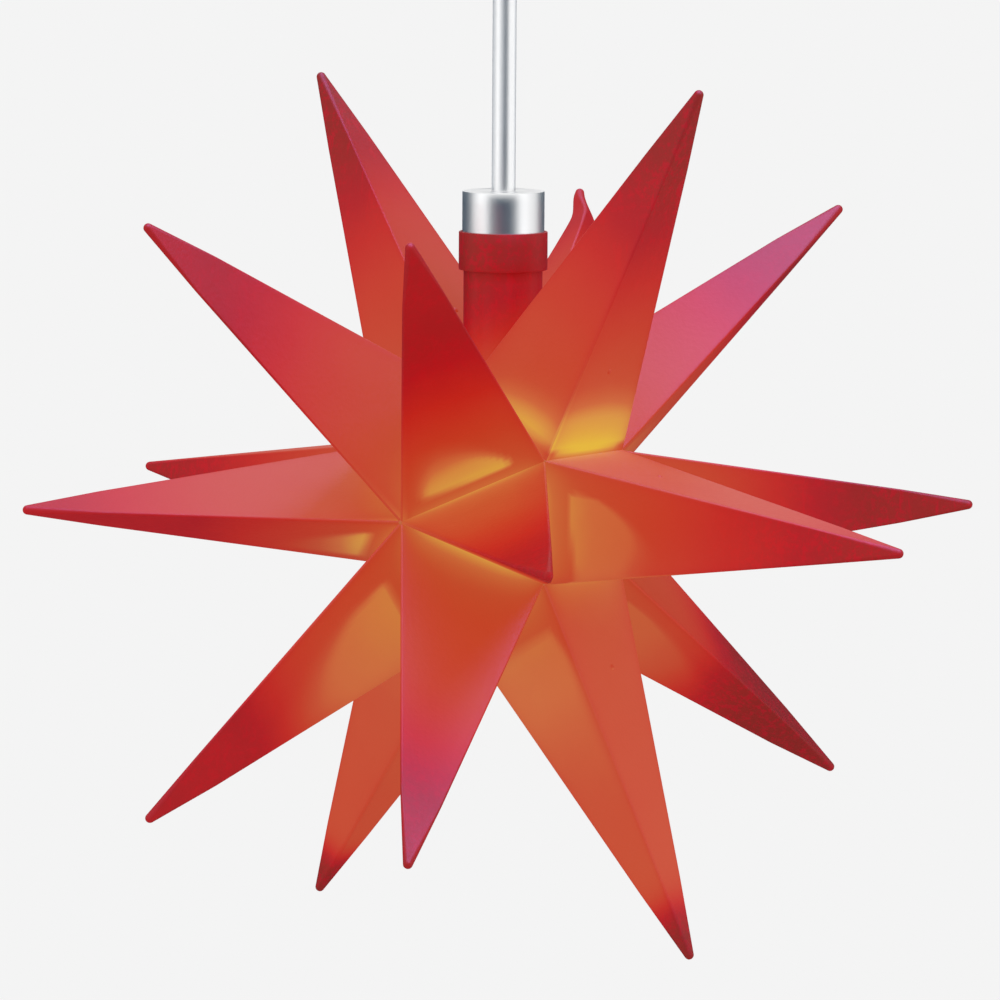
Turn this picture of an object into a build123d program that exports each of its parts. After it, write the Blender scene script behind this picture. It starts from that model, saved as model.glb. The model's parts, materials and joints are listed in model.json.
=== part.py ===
from build123d import *
import os
from math import cos, hypot, radians, sin, sqrt, tan

# All lengths are millimetres and all angles degrees. Heights are measured from the star's centre until
# export, where the model moves down so that the ceiling plane becomes Z = 0. The star's front pole
# points to -Y.

# Star: four-sided spikes round the rim, and as many three-sided ones to the front and to the back
spikes_round = 6
rim_tip_reach = 125.0  # star's centre to the tip of a rim spike
pole_tip_reach = 121.5  # star's centre to the tip of a front or back spike
pole_tip_tilt = 45.0  # angle between such a spike and the front-to-back axis
spike_wall = 1.2  # also the radius of the rounded ridges and tips
foot_thickness = 1.2  # flange that closes a spike's base around its window
collar_wall = 0.8  # collar under the foot, which enters a window of the core
collar_tail = 0.4  # collar left below its snap lugs
lug_length = 5.0
lug_height = 0.9
lug_reach = 0.5  # how far a snap lug hooks behind the core's wall
lug_play = 0.1

# Core: hollow hexagonal frame inside the star, split in a front and a back half, with a window per spike
core_corner_radius = 31.25
core_half_depth = 15.5  # half the front-to-back length of the hexagonal prism
core_pole_reach = 39.8  # star's centre to the points of the front and back pyramids
core_wall = 1.4
window_margin = 4.0  # frame left between a window and the edges of its face
window_clearance = 0.15
dowel_radius = 1.0
dowel_length = 12.0
dowel_fit = 0.03
dowel_end_gap = 0.3
boss_wall = 1.2
boss_bite = 0.35  # how far a dowel's boss reaches into the core's walls

# Neck: tube that rises out of the star and ends in a wider bell
neck_radius = 10.0
neck_wall = 1.0
neck_engagement = 14.75  # length inside the core, below its top edge
neck_flange_lift = 2.5
neck_flange_reach = 1.2
neck_flange_thickness = 2.0
neck_fit = 0.1
sleeve_wall = 2.2  # ring of the core that grips the neck
notch_gap = 0.3  # between the neck and the two spikes that it passes
bell_lift = 29.5  # core's top edge to the bell's underside
bell_depth = 9.7
bell_wall = 0.6
bell_gap = 0.25
bell_floor = 1.2

# Cap and its sealing ring, which grips the bell
cap_overhang = 0.4  # cap's radius over the neck's
cap_wall = 1.9
cap_top_thickness = 2.0
cap_exposed = 10.2  # height that shows above the bell
cap_floor_gap = 0.4
ring_section_radius = 0.6
ring_play = 0.05
groove_play = 0.1
groove_lift = 2.6  # cap's lower edge to the middle of the ring

# Hanger stem and its fittings
stem_radius = 3.0
stem_wall = 0.6
stem_fit = 0.02
nut_wall = 1.6
nut_thickness = 3.0
head_wall = 0.9
head_socket = 6.0
head_web = 1.2
head_top_reach = 4.5  # pivot axis to the head's top
head_clearance = 3.0  # head's top to the ceiling bracket

# Lampholder, contacts and wires
light_height = 18.0  # middle of the light source above the star's centre
holder_gap = 1.6  # between the lampholder and the neck's bore
holder_socket = 8.0
chamber_height = 7.0
contact_half_spacing = 2.0
contact_radius = 1.1
contact_spare = 3.3  # bore left past the end of a pin
contact_recess = 1.0
contact_head_reach = 0.4
contact_head_height = 1.0
contact_fit = 0.03
chamber_gap = 0.5
wire_radius = 0.6
wire_spread = 0.45  # distance from the stem's axis, as a share of its bore
wire_bend = 1.5
wire_gap = 0.3
wire_rise = 2.0  # straight length above a contact
wire_tail = 11.0  # stem's axis to the end of a wire
ferrule_wall = 0.25
ferrule_length = 5.0

# Lamp: plug-in capsule with two pins, a board with light chips and a frosted dome
lamp_gap = 0.3
lamp_flange_thickness = 2.5
lamp_spigot_length = 2.5
dome_radius = 6.0
dome_wall = 0.8
dome_fit = 0.05
dome_tip_gap = 4.5  # board's lower end to the dome's
pin_radius = 0.35
pin_length = 8.0
pin_root = 2.0
pin_fit = 0.04
board_side_gap = 1.7  # board's edge to the dome's wall
board_thickness = 1.0
board_length = 11.0  # below the spigot
board_root = 1.5
board_fit = 0.05
chip_gap = 1.3
chip_thickness = 0.7
chip_rows = 3
chip_columns = 2

# Ceiling fitting
star_drop = 162.0  # ceiling to the star's centre
canopy_height = 24.0
canopy_wall = 1.0
canopy_edge_radius = 4.0
canopy_gap = 0.3
swing_limit = 12.0
bracket_width = 16.0
bracket_thickness = 1.5
ear_tail = 5.0  # ear below its screw
ear_clear = 4.8  # ear's inside to the nearest ceiling hole
ceiling_hole_radius = 2.2
ceiling_hole_spacing = 34.0
fork_width = 9.0
fork_tail = 4.0  # fork below the pivot axis
fork_play = 0.3
pivot_radius = 1.5
pivot_fit = 0.02
pivot_running_gap = 0.05
pivot_head_reach = 1.1
pivot_head_thickness = 1.2
pivot_tail = 2.0
clip_thickness = 0.6
clip_depth = 0.4
clip_reach = 1.2
clip_play = 0.05
clip_mouth = 1.6
screw_radius = 1.4
screw_fit = 0.05
screw_hole_gap = 0.2
screw_drop = 6.0
screw_head_reach = 1.2
screw_head_thickness = 1.6
screw_tail = 2.5  # past the bracket's ear
screw_slot = 0.6

# Equal sectors about the front-to-back axis, turned so that an edge of the core lies under the neck
sector = 360 / spikes_round
neck_azimuth = 90
face_azimuths = [neck_azimuth + sector * (i + 0.5) for i in range(spikes_round)]
corner_azimuths = [neck_azimuth + sector * i for i in range(spikes_round)]

# Derived heights and radii
core_face_reach = core_corner_radius * cos(radians(sector / 2))
neck_bottom = core_corner_radius - neck_engagement
neck_bore = neck_radius - neck_wall
bell_bottom = core_corner_radius + bell_lift
bell_top = bell_bottom + bell_depth
neck_flange_bottom = neck_bottom + neck_flange_lift
neck_flange_top = neck_flange_bottom + neck_flange_thickness
cap_radius = neck_radius + cap_overhang
bell_bore = cap_radius + bell_gap
bell_radius = bell_bore + bell_wall
sleeve_radius = neck_radius + neck_fit + sleeve_wall
cap_bottom = bell_bottom + bell_floor + cap_floor_gap
cap_top = bell_top + cap_exposed
ring_height = cap_bottom + groove_lift
ring_radius = bell_bore - ring_play - ring_section_radius
stem_bore = stem_radius - stem_wall
stem_hole = stem_radius + stem_fit
nut_top = cap_top - cap_top_thickness

spigot_bottom = light_height + board_length / 2
flange_bottom = spigot_bottom + lamp_spigot_length
lamp_seat = flange_bottom + lamp_flange_thickness
holder_bottom = lamp_seat + lamp_gap
holder_radius = neck_bore - holder_gap
contact_bottom = holder_bottom + contact_recess
chamber_floor = lamp_seat + pin_length + contact_spare
contact_top = chamber_floor + contact_head_height
stem_bottom = chamber_floor + chamber_height
holder_top = stem_bottom + holder_socket
chamber_radius = contact_half_spacing + contact_radius + contact_head_reach + chamber_gap
board_width = 2 * (dome_radius - dome_wall - board_side_gap)
dome_bottom = spigot_bottom - board_length - dome_tip_gap

pivot_height = star_drop - bracket_thickness - head_clearance - head_top_reach
exit_height = pivot_height - pivot_radius - head_web - wire_gap - wire_radius
stem_top = exit_height - wire_bend - wire_gap
head_radius = stem_radius + head_wall
wire_half_spacing = wire_spread * stem_bore
fork_inside = head_radius + fork_play
fork_outside = fork_inside + bracket_thickness
ear_outside = ceiling_hole_spacing / 2 + ceiling_hole_radius + ear_clear + bracket_thickness
canopy_bore = hypot(ear_outside, bracket_width / 2) + canopy_gap
canopy_radius = canopy_bore + canopy_wall
screw_height = star_drop - screw_drop


def polyhedron(polygons):
    """Closed solid whose faces are the given flat polygons."""
    return Solid(Shell([Face(Wire.make_polygon(polygon, close=True)) for polygon in polygons]))


def rod(radius, low, high):
    """Upright cylinder about the Z axis, between two heights."""
    return Pos(0, 0, low) * Cylinder(radius, high - low, align=(Align.CENTER, Align.CENTER, Align.MIN))


def tube(radius, bore, low, high):
    """Upright tube about the Z axis, between two heights."""
    return rod(radius, low, high) - rod(bore, low, high)


def cross_rod(radius, start, end, height):
    """Cylinder along X, between two distances from the Z axis."""
    length = end - start
    return Pos(start + length / 2, 0, height) * Rot(0, 90, 0) * Cylinder(radius, length)


def block(width, depth, low, high, x=0.0, y=0.0):
    """Upright box between two heights, centred on a point of the XY plane."""
    return Pos(x, y, (low + high) / 2) * Box(width, depth, high - low)


def at_azimuth(radius, azimuth, depth):
    """Point at a radius from the front-to-back axis, turned from +X towards +Z, at Y = depth."""
    return Vector(radius * cos(radians(azimuth)), depth, radius * sin(radians(azimuth)))


def turned(shape, azimuth):
    """Shape turned about the front-to-back axis, from +X towards +Z."""
    return Rot(0, -azimuth, 0) * shape


def inset(polygon, margin):
    """Corners of a convex polygon that is drawn in by a margin on every side."""
    corners = []
    for i, corner in enumerate(polygon):
        arriving = (corner - polygon[i - 1]).normalized()
        leaving = (polygon[(i + 1) % len(polygon)] - corner).normalized()
        corners.append(corner + (leaving - arriving) * (margin / arriving.cross(leaving).length))
    return corners


def prism(polygon, normal, low, high):
    """Straight prism on a polygon, between two heights along its normal."""
    face = Face(Wire.make_polygon([corner + normal * low for corner in polygon], close=True))
    return extrude(face, amount=high - low, dir=normal)


def side_normal(start, end, tip_centre):
    """Outward normal of a spike's side through a base edge, one wall outside the tip's centre."""
    along = (end - start).normalized()
    slope = tip_centre - start
    slope = slope - along * slope.dot(along)
    lean = spike_wall / slope.length
    slope = slope.normalized()
    return along.cross(slope) * sqrt(1 - lean**2) - slope * lean


def snap_lug(start, end, outward):
    """Lug on a collar's side, in the middle of a base edge, which hooks behind the core's wall."""
    along = (end - start).normalized()
    inward = outward.cross(along)
    middle = (start + end) * 0.5
    near = middle + inward * (window_margin - lug_reach)
    far = middle + inward * (window_margin + window_clearance + collar_wall / 2)
    half = along * (lug_length / 2)
    top = -core_wall - lug_play
    return prism([near - half, near + half, far + half, far - half], outward, top - lug_height, top)


def spike(face, tip, lug_edges):
    """Hollow spike on a face of the core, with its foot, its collar and its snap lugs."""
    sides = len(face)
    outward = (face[1] - face[0]).cross(face[2] - face[1]).normalized()
    tip_centre = tip * (1 - spike_wall / tip.length)
    normals = [side_normal(face[i], face[(i + 1) % sides], tip_centre) for i in range(sides)]

    def cavity(height):
        """Sharp-edged inside of the spike, cut off at a height over its base."""
        corners = []
        for i in range(sides):
            ridge = normals[i - 1].cross(normals[i])
            reach = (outward.dot(face[0] - tip_centre) + height) / outward.dot(ridge)
            corners.append(tip_centre + ridge * reach)
        walls = [[corners[i], corners[(i + 1) % sides], tip_centre] for i in range(sides)]
        return polyhedron([corners] + walls)

    spare_length = 4 * spike_wall  # cut off again, with the rounding of its lower edges
    body = offset(cavity(-spare_length), spike_wall, kind=Kind.ARC)
    body = split(body, Plane(origin=face[0], z_dir=outward), keep=Keep.TOP)
    body -= cavity(foot_thickness)
    collar_margin = window_margin + window_clearance
    collar_depth = core_wall + lug_play + lug_height + collar_tail
    body += prism(inset(face, collar_margin), outward, -collar_depth, foot_thickness)
    for i in lug_edges:
        body += snap_lug(face[i], face[(i + 1) % sides], outward)
    body -= prism(inset(face, collar_margin + collar_wall), outward, -collar_depth, 2 * foot_thickness)
    return body


def rim_face():
    """Corners of the core's square face towards +X."""
    half = sector / 2
    return [
        at_azimuth(core_corner_radius, -half, -core_half_depth),
        at_azimuth(core_corner_radius, -half, core_half_depth),
        at_azimuth(core_corner_radius, half, core_half_depth),
        at_azimuth(core_corner_radius, half, -core_half_depth),
    ]


def front_face():
    """Corners of the core's three-sided face towards +X and -Y."""
    half = sector / 2
    return [
        Vector(0, -core_pole_reach, 0),
        at_azimuth(core_corner_radius, -half, -core_half_depth),
        at_azimuth(core_corner_radius, half, -core_half_depth),
    ]


def core_form(corner_radius, half_depth, pole_reach):
    """Hexagonal prism with a pyramid on its front and another on its back."""
    polygons = []
    for azimuth in face_azimuths:
        start = azimuth - sector / 2
        end = azimuth + sector / 2
        sides = (-half_depth, half_depth)
        front_start, back_start = [at_azimuth(corner_radius, start, depth) for depth in sides]
        front_end, back_end = [at_azimuth(corner_radius, end, depth) for depth in sides]
        polygons.append([front_start, back_start, back_end, front_end])
        polygons.append([Vector(0, -pole_reach, 0), front_start, front_end])
        polygons.append([Vector(0, pole_reach, 0), back_end, back_start])
    return polyhedron(polygons)


def core_hollow():
    """Inside of the core, one wall within its outer form."""
    rise = core_pole_reach - core_half_depth
    length = hypot(core_face_reach, rise)
    pole_share = core_face_reach / length
    rim_share = rise / length
    corner_radius = core_corner_radius - core_wall / cos(radians(sector / 2))
    pole_reach = core_pole_reach - core_wall / pole_share
    half_depth = pole_reach - rim_share * (core_face_reach - core_wall) / pole_share
    return core_form(corner_radius, half_depth, pole_reach)


def dowel_places():
    """Centres of the dowels, in the core's corners that the neck leaves free."""
    boss_radius = dowel_radius + dowel_fit + boss_wall
    corner_offset = (core_wall + boss_radius - boss_bite) / cos(radians(sector / 2))
    free_corners = corner_azimuths[1:]
    return [at_azimuth(core_corner_radius - corner_offset, azimuth, 0) for azimuth in free_corners]


def along_depth(radius, length, place):
    """Cylinder along Y, centred on a point."""
    return Pos(place) * Rot(90, 0, 0) * Cylinder(radius, length)


def window_cutter(face):
    """Prism that cuts a spike's window through a face of the core."""
    outward = (face[1] - face[0]).cross(face[2] - face[1]).normalized()
    return prism(inset(face, window_margin), outward, -core_wall - window_clearance, window_clearance)


def core():
    """Whole core with its windows, its dowel bosses and the sleeve that grips the neck."""
    form = core_form(core_corner_radius, core_half_depth, core_pole_reach)
    body = form - core_hollow()
    hole_radius = dowel_radius + dowel_fit
    hole_length = dowel_length + 2 * dowel_end_gap
    front_window = window_cutter(front_face())
    for window in (window_cutter(rim_face()), front_window, Rot(180, 0, 0) * front_window):
        for azimuth in face_azimuths:
            body -= turned(window, azimuth)
    for place in dowel_places():
        body += form & along_depth(hole_radius + boss_wall, hole_length + 2 * boss_wall, place)
        body -= along_depth(hole_radius, hole_length, place)
    body += form & rod(sleeve_radius, neck_bottom, core_corner_radius)
    body -= rod(neck_radius + neck_fit, neck_bottom - core_wall, core_corner_radius)
    groove_radius = neck_radius + neck_flange_reach + neck_fit
    return body - rod(groove_radius, neck_flange_bottom - neck_fit, neck_flange_top + neck_fit)


def core_dowels():
    """Dowels that line up and join the two halves of the core."""
    return [along_depth(dowel_radius, dowel_length, place) for place in dowel_places()]


def star_spikes():
    """The star's spikes by name, with clock hours as seen from the front."""
    tilt = radians(pole_tip_tilt)
    rim = spike(rim_face(), Vector(rim_tip_reach, 0, 0), (1, 3))
    front_tip = Vector(pole_tip_reach * sin(tilt), -pole_tip_reach * cos(tilt), 0)
    front = spike(front_face(), front_tip, (0, 1, 2))
    back = Rot(180, 0, 0) * front
    form = core_form(core_corner_radius, core_half_depth, core_pole_reach)
    neck_space = rod(neck_radius + notch_gap, neck_bottom, bell_top)
    neck_space += form & rod(sleeve_radius + notch_gap, neck_bottom - core_wall, core_corner_radius)
    spikes = {}
    for azimuth in face_azimuths:
        hour = round(2 - azimuth / 30) % 12 + 1
        rim_spike = turned(rim, azimuth)
        if azimuth in (face_azimuths[0], face_azimuths[-1]):
            rim_spike -= neck_space
        spikes[f"rim_spike_{hour}_oclock"] = rim_spike
        spikes[f"front_spike_{hour}_oclock"] = turned(front, azimuth)
        spikes[f"back_spike_{hour}_oclock"] = turned(back, azimuth)
    return spikes


def neck():
    """Tube with a flange that the core grips, and a bell that takes the cap."""
    body = rod(neck_radius, neck_bottom, bell_bottom + bell_floor)
    body += rod(neck_radius + neck_flange_reach, neck_flange_bottom, neck_flange_top)
    body += rod(bell_radius, bell_bottom, bell_top)
    body -= rod(neck_bore, neck_bottom, bell_top)
    return body - rod(bell_bore, bell_bottom + bell_floor, bell_top)


def cap():
    """Turned metal cap, open below, with a hole for the stem and a groove for the ring."""
    half_groove = ring_section_radius + groove_play
    groove_radius = ring_radius - ring_section_radius - ring_play
    body = rod(cap_radius, cap_bottom, cap_top)
    body -= rod(cap_radius - cap_wall, cap_bottom, cap_top - cap_top_thickness)
    body -= rod(stem_hole, cap_bottom, cap_top)
    return body - tube(cap_radius, groove_radius, ring_height - half_groove, ring_height + half_groove)


def cap_ring():
    """Rubber ring in the cap's groove, which holds the bell by friction."""
    return Pos(0, 0, ring_height) * Torus(ring_radius, ring_section_radius)


def stem_nut():
    """Hexagon nut on the stem, under the cap's top."""
    hexagon = RegularPolygon(stem_radius + nut_wall, 6, major_radius=False)
    body = Pos(0, 0, nut_top - nut_thickness) * extrude(hexagon, amount=nut_thickness)
    return body - rod(stem_hole, nut_top - nut_thickness, nut_top)


def stem_head():
    """Eye at the stem's top: a socket for the stem, a slot for the wires and a bore for the pivot pin."""
    bottom = stem_top - head_socket
    body = rod(head_radius, bottom, pivot_height + head_top_reach)
    body -= rod(stem_hole, bottom, stem_top)
    slot_width = 2 * (wire_half_spacing + wire_radius + wire_gap)
    slot_top = exit_height + wire_radius + wire_gap
    slot_back = wire_radius + wire_gap
    slot_depth = slot_back + 2 * head_radius
    body -= block(slot_width, slot_depth, stem_top, slot_top, y=slot_depth / 2 - slot_back)
    return body - cross_rod(pivot_radius + pivot_running_gap, -head_radius, head_radius, pivot_height)


def lampholder():
    """Plastic lampholder on the stem's lower end, with a chamber for the wires and two contact holes."""
    body = rod(holder_radius, holder_bottom, holder_top)
    body -= rod(stem_hole, stem_bottom, holder_top)
    body -= rod(chamber_radius, chamber_floor, stem_bottom)
    for side in (-1, 1):
        hole = rod(contact_radius + contact_fit, holder_bottom, chamber_floor)
        body -= Pos(side * contact_half_spacing, 0, 0) * hole
    return body


def contacts():
    """Two brass sleeves that take the lamp's pins, with heads that rest on the chamber's floor."""
    sleeve = rod(contact_radius, contact_bottom, contact_top)
    sleeve += rod(contact_radius + contact_head_reach, chamber_floor, contact_top)
    sleeve -= rod(pin_radius + pin_fit, contact_bottom, chamber_floor)
    return [Pos(side * contact_half_spacing, 0, 0) * sleeve for side in (-1, 1)]


def supply_wires():
    """Two insulated wires from the contacts up the stem and out of the head's slot."""
    wires = []
    for side in (-1, 1):
        contact_x = side * contact_half_spacing
        stem_x = side * wire_half_spacing
        route = FilletPolyline(
            (contact_x, 0, contact_top),
            (contact_x, 0, contact_top + wire_rise),
            (stem_x, 0, stem_bottom),
            (stem_x, 0, exit_height),
            (stem_x, wire_tail, exit_height),
            radius=wire_bend,
        )
        section = Plane(origin=(contact_x, 0, contact_top), z_dir=(0, 0, 1)) * Circle(wire_radius)
        wires.append(sweep(section, path=route))
    return wires


def wire_ferrules():
    """Crimped sleeves on the wires' free ends, closed at the end."""
    ferrules = []
    for side in (-1, 1):
        bore = rod(wire_radius + stem_fit, 0, ferrule_length)
        sleeve = rod(wire_radius + stem_fit + ferrule_wall, 0, ferrule_length + ferrule_wall) - bore
        start = Pos(side * wire_half_spacing, wire_tail - ferrule_length, exit_height)
        ferrules.append(start * Rot(-90, 0, 0) * sleeve)
    return ferrules


def lamp_base():
    """Lamp's foot: a flange, a spigot for the dome, a slot for the board and two pin holes."""
    spigot_radius = dome_radius - dome_wall - dome_fit
    body = rod(dome_radius, flange_bottom, lamp_seat) + rod(spigot_radius, spigot_bottom, flange_bottom)
    slot = block(
        board_width + 2 * board_fit,
        board_thickness + 2 * board_fit,
        spigot_bottom,
        spigot_bottom + board_root + board_fit,
    )
    body -= slot
    for side in (-1, 1):
        body -= Pos(side * contact_half_spacing, 0, 0) * rod(pin_radius, lamp_seat - pin_root, lamp_seat)
    return body


def lamp_pins():
    """Two contact pins that stand in the lamp's foot."""
    pin = rod(pin_radius, lamp_seat - pin_root, lamp_seat + pin_length)
    return [Pos(side * contact_half_spacing, 0, 0) * pin for side in (-1, 1)]


def dome_form(radius, bottom):
    """Round-ended rod below the lamp's flange."""
    centre = bottom + radius
    return rod(radius, centre, flange_bottom) + Pos(0, 0, centre) * Sphere(radius)


def lamp_dome():
    """Frosted dome over the board."""
    hollow = dome_form(dome_radius - dome_wall, dome_bottom + dome_wall)
    return dome_form(dome_radius, dome_bottom) - hollow


def led_board():
    """Upright board that carries the light chips."""
    return block(board_width, board_thickness, spigot_bottom - board_length, spigot_bottom + board_root)


def led_chips():
    """Rows of light chips on both sides of the board."""
    row_step = board_length / chip_rows
    column_step = board_width / chip_columns
    chip = Box(column_step - chip_gap, chip_thickness, row_step - chip_gap)
    chips = []
    for side in (-1, 1):
        y = side * (board_thickness + chip_thickness) / 2
        for row in range(chip_rows):
            height = spigot_bottom - (row + 0.5) * row_step
            for column in range(chip_columns):
                x = (column + 0.5) * column_step - board_width / 2
                chips.append(Pos(x, y, height) * chip)
    return chips


def canopy():
    """Round ceiling cup with a hole that lets the stem swing, and holes for its screws."""
    bottom = star_drop - canopy_height
    outside = rod(canopy_radius, bottom, star_drop)
    outside = fillet(outside.edges().group_by(Axis.Z)[0], canopy_edge_radius)
    inside = rod(canopy_bore, bottom + canopy_wall, star_drop)
    inside = fillet(inside.edges().group_by(Axis.Z)[0], canopy_edge_radius - canopy_wall)
    swing = radians(swing_limit)
    swing_hole = (pivot_height - bottom) * tan(swing) + head_radius / cos(swing) + canopy_gap
    body = outside - inside - rod(swing_hole, bottom, bottom + canopy_wall)
    return body - cross_rod(screw_radius + screw_hole_gap, -canopy_radius, canopy_radius, screw_height)


def ceiling_bracket():
    """Strap under the ceiling, with an ear at each end for the canopy and a fork for the pivot pin."""
    plate_bottom = star_drop - bracket_thickness
    body = block(2 * ear_outside, bracket_width, plate_bottom, star_drop)
    for side in (-1, 1):
        ear_x = side * (ear_outside - bracket_thickness / 2)
        body += block(bracket_thickness, bracket_width, screw_height - ear_tail, star_drop, x=ear_x)
        fork_x = side * (fork_inside + bracket_thickness / 2)
        body += block(bracket_thickness, fork_width, pivot_height - fork_tail, star_drop, x=fork_x)
        hole = rod(ceiling_hole_radius, plate_bottom, star_drop)
        body -= Pos(side * ceiling_hole_spacing / 2, 0, 0) * hole
    body -= cross_rod(screw_radius + screw_fit, -ear_outside, ear_outside, screw_height)
    return body - cross_rod(pivot_radius + pivot_fit, -fork_outside, fork_outside, pivot_height)


def pivot_pin():
    """Headed pin through the fork and the stem's eye, with a groove for its clip."""
    end = fork_outside + clip_play + clip_thickness + pivot_tail
    body = cross_rod(pivot_radius, -fork_outside, end, pivot_height)
    head_end = -fork_outside - pivot_head_thickness
    body += cross_rod(pivot_radius + pivot_head_reach, head_end, -fork_outside, pivot_height)
    groove_start = fork_outside
    groove_end = groove_start + clip_thickness + 2 * clip_play
    groove = cross_rod(pivot_radius, groove_start, groove_end, pivot_height)
    groove -= cross_rod(pivot_radius - clip_depth, groove_start, groove_end, pivot_height)
    return body - groove


def pivot_clip():
    """Open retaining clip in the pin's groove."""
    start = fork_outside + clip_play
    end = start + clip_thickness
    body = cross_rod(pivot_radius + clip_reach, start, end, pivot_height)
    body -= cross_rod(pivot_radius - clip_depth + clip_play, start, end, pivot_height)
    mouth_bottom = pivot_height - 2 * (pivot_radius + clip_reach)
    return body - block(2 * clip_thickness, clip_mouth, mouth_bottom, pivot_height, x=(start + end) / 2)


def canopy_screws():
    """Two slotted screws that hold the canopy to the bracket's ears."""
    tip = ear_outside - bracket_thickness - screw_tail
    head_end = canopy_radius + screw_head_thickness
    body = cross_rod(screw_radius, tip, canopy_radius, screw_height)
    body += cross_rod(screw_radius + screw_head_reach, canopy_radius, head_end, screw_height)
    head_width = 2 * (screw_radius + screw_head_reach)
    screw = body - Pos(head_end, 0, screw_height) * Box(2 * screw_slot, head_width, screw_slot)
    return [screw, Rot(0, 0, 180) * screw]


whole_core = core()

nodes = {
    "canopy": canopy(),
    "ceiling_bracket": ceiling_bracket(),
    "canopy_screws": canopy_screws(),
    "pivot_pin": pivot_pin(),
    "pivot_clip": pivot_clip(),
    "stem_head": stem_head(),
    "hanger_stem": tube(stem_radius, stem_bore, stem_bottom, stem_top),
    "cap": cap(),
    "cap_ring": cap_ring(),
    "stem_nut": stem_nut(),
    "lampholder": lampholder(),
    "lampholder_contacts": contacts(),
    "supply_wires": supply_wires(),
    "wire_ferrules": wire_ferrules(),
    "lamp_base": lamp_base(),
    "lamp_pins": lamp_pins(),
    "led_board": led_board(),
    "led_chips": led_chips(),
    "lamp_dome": lamp_dome(),
    "neck": neck(),
    "core_front_half": split(whole_core, Plane.XZ, keep=Keep.TOP),
    "core_back_half": split(whole_core, Plane.XZ, keep=Keep.BOTTOM),
    "core_dowels": core_dowels(),
}
nodes.update(star_spikes())

os.makedirs("parts", exist_ok=True)
for name, shape in nodes.items():
    pieces = shape if isinstance(shape, list) else [shape]
    solids = [Pos(0, 0, -star_drop) * solid for piece in pieces for solid in piece.solids()]
    export_step(solids[0] if len(solids) == 1 else Compound(children=solids), f"parts/{name}.step")
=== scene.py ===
"""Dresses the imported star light.

Its spikes and neck are glowing plastic, its cap, stem and canopy satin metal. All lengths are metres in the
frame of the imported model, with the ceiling at Z = 0 and the star's front to -Y.
"""

from __future__ import annotations

import json
import logging
import math
from collections.abc import Callable, Sequence
from dataclasses import dataclass, field
from enum import Enum
from functools import lru_cache
from typing import Any, Optional, Union

import bpy
import numpy as np
from mathutils import Matrix, Vector

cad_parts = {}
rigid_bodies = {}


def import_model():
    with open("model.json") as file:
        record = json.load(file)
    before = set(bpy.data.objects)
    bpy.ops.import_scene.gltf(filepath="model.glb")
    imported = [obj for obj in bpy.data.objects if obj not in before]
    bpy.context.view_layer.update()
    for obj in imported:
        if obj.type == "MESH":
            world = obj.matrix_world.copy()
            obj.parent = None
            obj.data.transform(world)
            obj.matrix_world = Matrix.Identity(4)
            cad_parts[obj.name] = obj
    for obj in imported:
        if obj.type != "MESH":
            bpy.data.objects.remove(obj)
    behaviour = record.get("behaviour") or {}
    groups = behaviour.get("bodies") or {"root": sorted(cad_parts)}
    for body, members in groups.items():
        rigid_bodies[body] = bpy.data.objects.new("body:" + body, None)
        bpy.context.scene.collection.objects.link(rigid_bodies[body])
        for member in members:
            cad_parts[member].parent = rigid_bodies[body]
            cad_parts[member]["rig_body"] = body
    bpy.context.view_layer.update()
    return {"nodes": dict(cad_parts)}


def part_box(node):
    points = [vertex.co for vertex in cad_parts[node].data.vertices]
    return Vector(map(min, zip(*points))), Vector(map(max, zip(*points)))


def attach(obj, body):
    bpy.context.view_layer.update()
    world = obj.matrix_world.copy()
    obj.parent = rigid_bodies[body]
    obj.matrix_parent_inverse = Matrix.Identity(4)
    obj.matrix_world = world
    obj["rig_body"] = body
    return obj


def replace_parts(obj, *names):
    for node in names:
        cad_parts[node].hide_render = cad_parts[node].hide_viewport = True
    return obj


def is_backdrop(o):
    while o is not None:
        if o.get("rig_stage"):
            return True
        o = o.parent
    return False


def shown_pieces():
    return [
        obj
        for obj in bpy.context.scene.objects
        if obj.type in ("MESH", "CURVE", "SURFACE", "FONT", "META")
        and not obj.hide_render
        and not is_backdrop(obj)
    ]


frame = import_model()
MM = 0.001
WHITE = (1.0, 1.0, 1.0)

# Grid of a spike: steps across a side, some of them round a ridge, and rows from the tip, some round its ball
ARC_STEPS = 6
ACROSS_STEPS = 30
ARC_SHARE = ARC_STEPS / ACROSS_STEPS
CAP_ROWS = 8
SPIKE_ROWS = 73
CAP_SHARE = CAP_ROWS / (SPIKE_ROWS - 1)
INSIDE_ROWS = 7
SIDE_SLACK = 1e-4  # of a side, so that its first column counts as its own
WELD = 2e-6
SHARPENED_BY = 0.2  # share of a spike's length after which its ridges have their own radius

# Bent spike: shares of its length where it leans out and hooks back, the hook's reach and its cavity's share
BEND_START, BEND_TURN, BEND_BACK, BENT_CAVITY = 0.60, 0.88, 1.8, 0.5

# Moulding mark: its place across and down a side, its radius and how flat it is
GATE_ACROSS, GATE_DOWN, GATE_RADIUS, GATE_FLAT = 0.55, 0.76, 0.7 * MM, 0.35
NOTCH_DEPTH, NOTCH_STEPS = 0.12, 96

# Degrees of a rim spike's share of the circle and of an hour, and the hours of the uneven spikes
SECTOR, HOUR = 60, 30
NOTCHED_HOURS, BENT_HOUR = (1, 11), 11
LEVEL_RISE = 0.1  # most rise of a level spike's axis

# Turned pieces
ROW_STEP = 2.5 * MM
TURNED_ANGLE = math.radians(50.0)
MOST_CUT = 0.45  # of the shorter side of a corner

log = logging.getLogger("star_light")


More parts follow.
